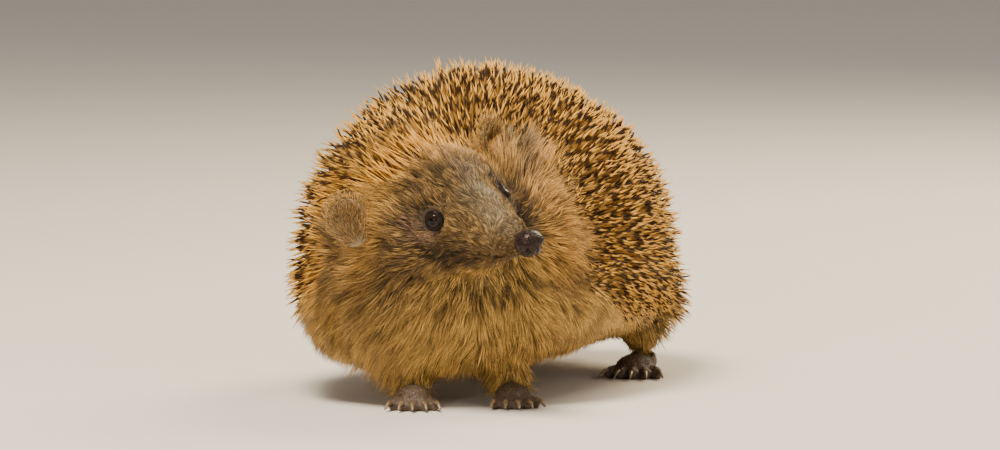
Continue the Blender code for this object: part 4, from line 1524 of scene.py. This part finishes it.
class HEDGEHOG_OT_whiskers(bpy.types.Operator):
    """Fine whiskers swept back from the muzzle, and a few over each eye"""

    bl_idname = "hedgehog.whiskers"
    bl_label = "Whiskers"

    def execute(self, context):
        chance = np.random.default_rng(SEEDS["whiskers"])
        ground = Ground("skin")
        forward, left, up = in_head_axes(ground.points).T
        out = np.abs(left)
        pad = bump_of(np.hypot(forward - 0.0225, up + 0.0035), 0.0042) * smoothstep(0.003, 0.005, out)
        brow = 0.15 * bump_of(np.hypot(forward - 0.002, up - 0.0065), 0.0022) * smoothstep(0.006, 0.009, out)
        planted = ground.plant(WHISKERS, np.clip(pad + brow, 0, 1), chance)
        roots, normals, _ = planted
        flow = lie(roots, normals, 0.05)
        flow = swung(flow, normals, chance.normal(0, 0.35, WHISKERS))
        lengths = chance.uniform(0.009, 0.019, WHISKERS)
        settle = chance.normal(0.25, 0.1, WHISKERS)
        ways = hair_directions(normals, flow, rise=0.85, settle=settle)
        marks = plain_marks(WHISKERS, dark=(chance.random(WHISKERS) < 0.6) * 0.9)
        tone = np.full(WHISKERS, 0.6)
        strands = Strands(rings=8, sides=4, profile=hair_profile)
        grow_fine(
            "whiskers", "face_fur", strands, planted, ways, lengths, 0.00007, tone, flat=1.0, marks=marks
        )
        return {"FINISHED"}


# ---- Stage, camera and light

VIEW_DISTANCE = 2.0
VIEW_DROP = math.radians(5.0)  # the camera looks down by this much
VIEW_WIDTH = 0.3222  # what the frame spans across the subject
VIEW_CENTRE = (0.0027, 0.0064, 0.0516)  # the animal stands left of the frame's middle by this


def light(name, place, target, power, size, colour):
    bpy.ops.object.light_add(type="AREA", location=place)
    lamp = bpy.context.object
    lamp.name = name
    lamp.data.energy = power
    lamp.data.size = size
    lamp.data.color = colour
    lamp.rotation_euler = (Vector(target) - Vector(place)).to_track_quat("-Z", "Y").to_euler()


class HEDGEHOG_OT_stage(bpy.types.Operator):
    """Pale floor, soft studio light and the camera"""

    bl_idname = "hedgehog.stage"
    bl_label = "Stage"

    def execute(self, context):
        floor = primitive("studio_floor", "plane", size=6.0)
        floor.data.materials.append(floor_material())
        world = bpy.data.worlds.new("studio")
        world.use_nodes = True
        background = world.node_tree.nodes["Background"]
        background.inputs["Color"].default_value = (1.0, 0.93, 0.83, 1.0)
        background.inputs["Strength"].default_value = 0.32
        context.scene.world = world
        target = (0.0, -0.03, 0.05)
        light("key", (-0.26, -0.38, 1.18), target, 25.0, 0.45, (1.0, 0.88, 0.70))
        light("catch", (-0.50, -1.25, 0.42), target, 3.0, 0.16, (1.0, 0.92, 0.80))
        light("fill", (0.95, -0.95, 0.50), target, 5.0, 0.9, (1.0, 0.90, 0.76))
        light("rim", (0.55, 0.75, 0.80), target, 16.0, 0.6, (1.0, 0.82, 0.56))
        bpy.ops.object.camera_add()
        camera = context.object
        camera.name = "camera"
        ahead = Vector((0.0, math.cos(VIEW_DROP), -math.sin(VIEW_DROP)))
        camera.location = Vector(VIEW_CENTRE) - ahead * VIEW_DISTANCE
        camera.rotation_euler = (math.pi / 2 - VIEW_DROP, 0.0, 0.0)
        camera.data.sensor_width = 36.0
        camera.data.lens = 36.0 * VIEW_DISTANCE / VIEW_WIDTH
        camera.data.clip_start = 0.05
        camera.data.clip_end = 50.0
        context.scene.camera = camera
        return {"FINISHED"}


class HEDGEHOG_PT_panel(bpy.types.Panel):
    """Lists the hedgehog's makers with their sizes and colours"""

    bl_label = "Hedgehog"
    bl_idname = "HEDGEHOG_PT_panel"
    bl_space_type = "VIEW_3D"
    bl_region_type = "UI"
    bl_category = "Hedgehog"

    def draw(self, context):
        for maker in MAKERS:
            self.layout.operator(maker.bl_idname)
        for group in (context.scene.hedgehog_sizes, context.scene.hedgehog_colours):
            for name in group.__annotations__:
                self.layout.prop(group, name)


MAKERS = (
    HEDGEHOG_OT_stage,
    HEDGEHOG_OT_skin,
    HEDGEHOG_OT_eyes,
    HEDGEHOG_OT_lids,
    HEDGEHOG_OT_nose,
    HEDGEHOG_OT_ears,
    HEDGEHOG_OT_paws,
    HEDGEHOG_OT_claws,
    HEDGEHOG_OT_spines,
    HEDGEHOG_OT_face_fur,
    HEDGEHOG_OT_body_fur,
    HEDGEHOG_OT_ear_fur,
    HEDGEHOG_OT_paw_fur,
    HEDGEHOG_OT_whiskers,
)
CLASSES = (HedgehogColours, HedgehogSizes, *MAKERS, HEDGEHOG_PT_panel)


def register():
    for each in CLASSES:
        bpy.utils.register_class(each)
    bpy.types.Scene.hedgehog_colours = PointerProperty(type=HedgehogColours)
    bpy.types.Scene.hedgehog_sizes = PointerProperty(type=HedgehogSizes)


def unregister():
    del bpy.types.Scene.hedgehog_sizes
    del bpy.types.Scene.hedgehog_colours
    for each in reversed(CLASSES):
        bpy.utils.unregister_class(each)


def main():
    register()
    for maker in MAKERS:
        getattr(bpy.ops.hedgehog, maker.bl_idname.split(".")[1])()


if __name__ == "__main__":
    main()
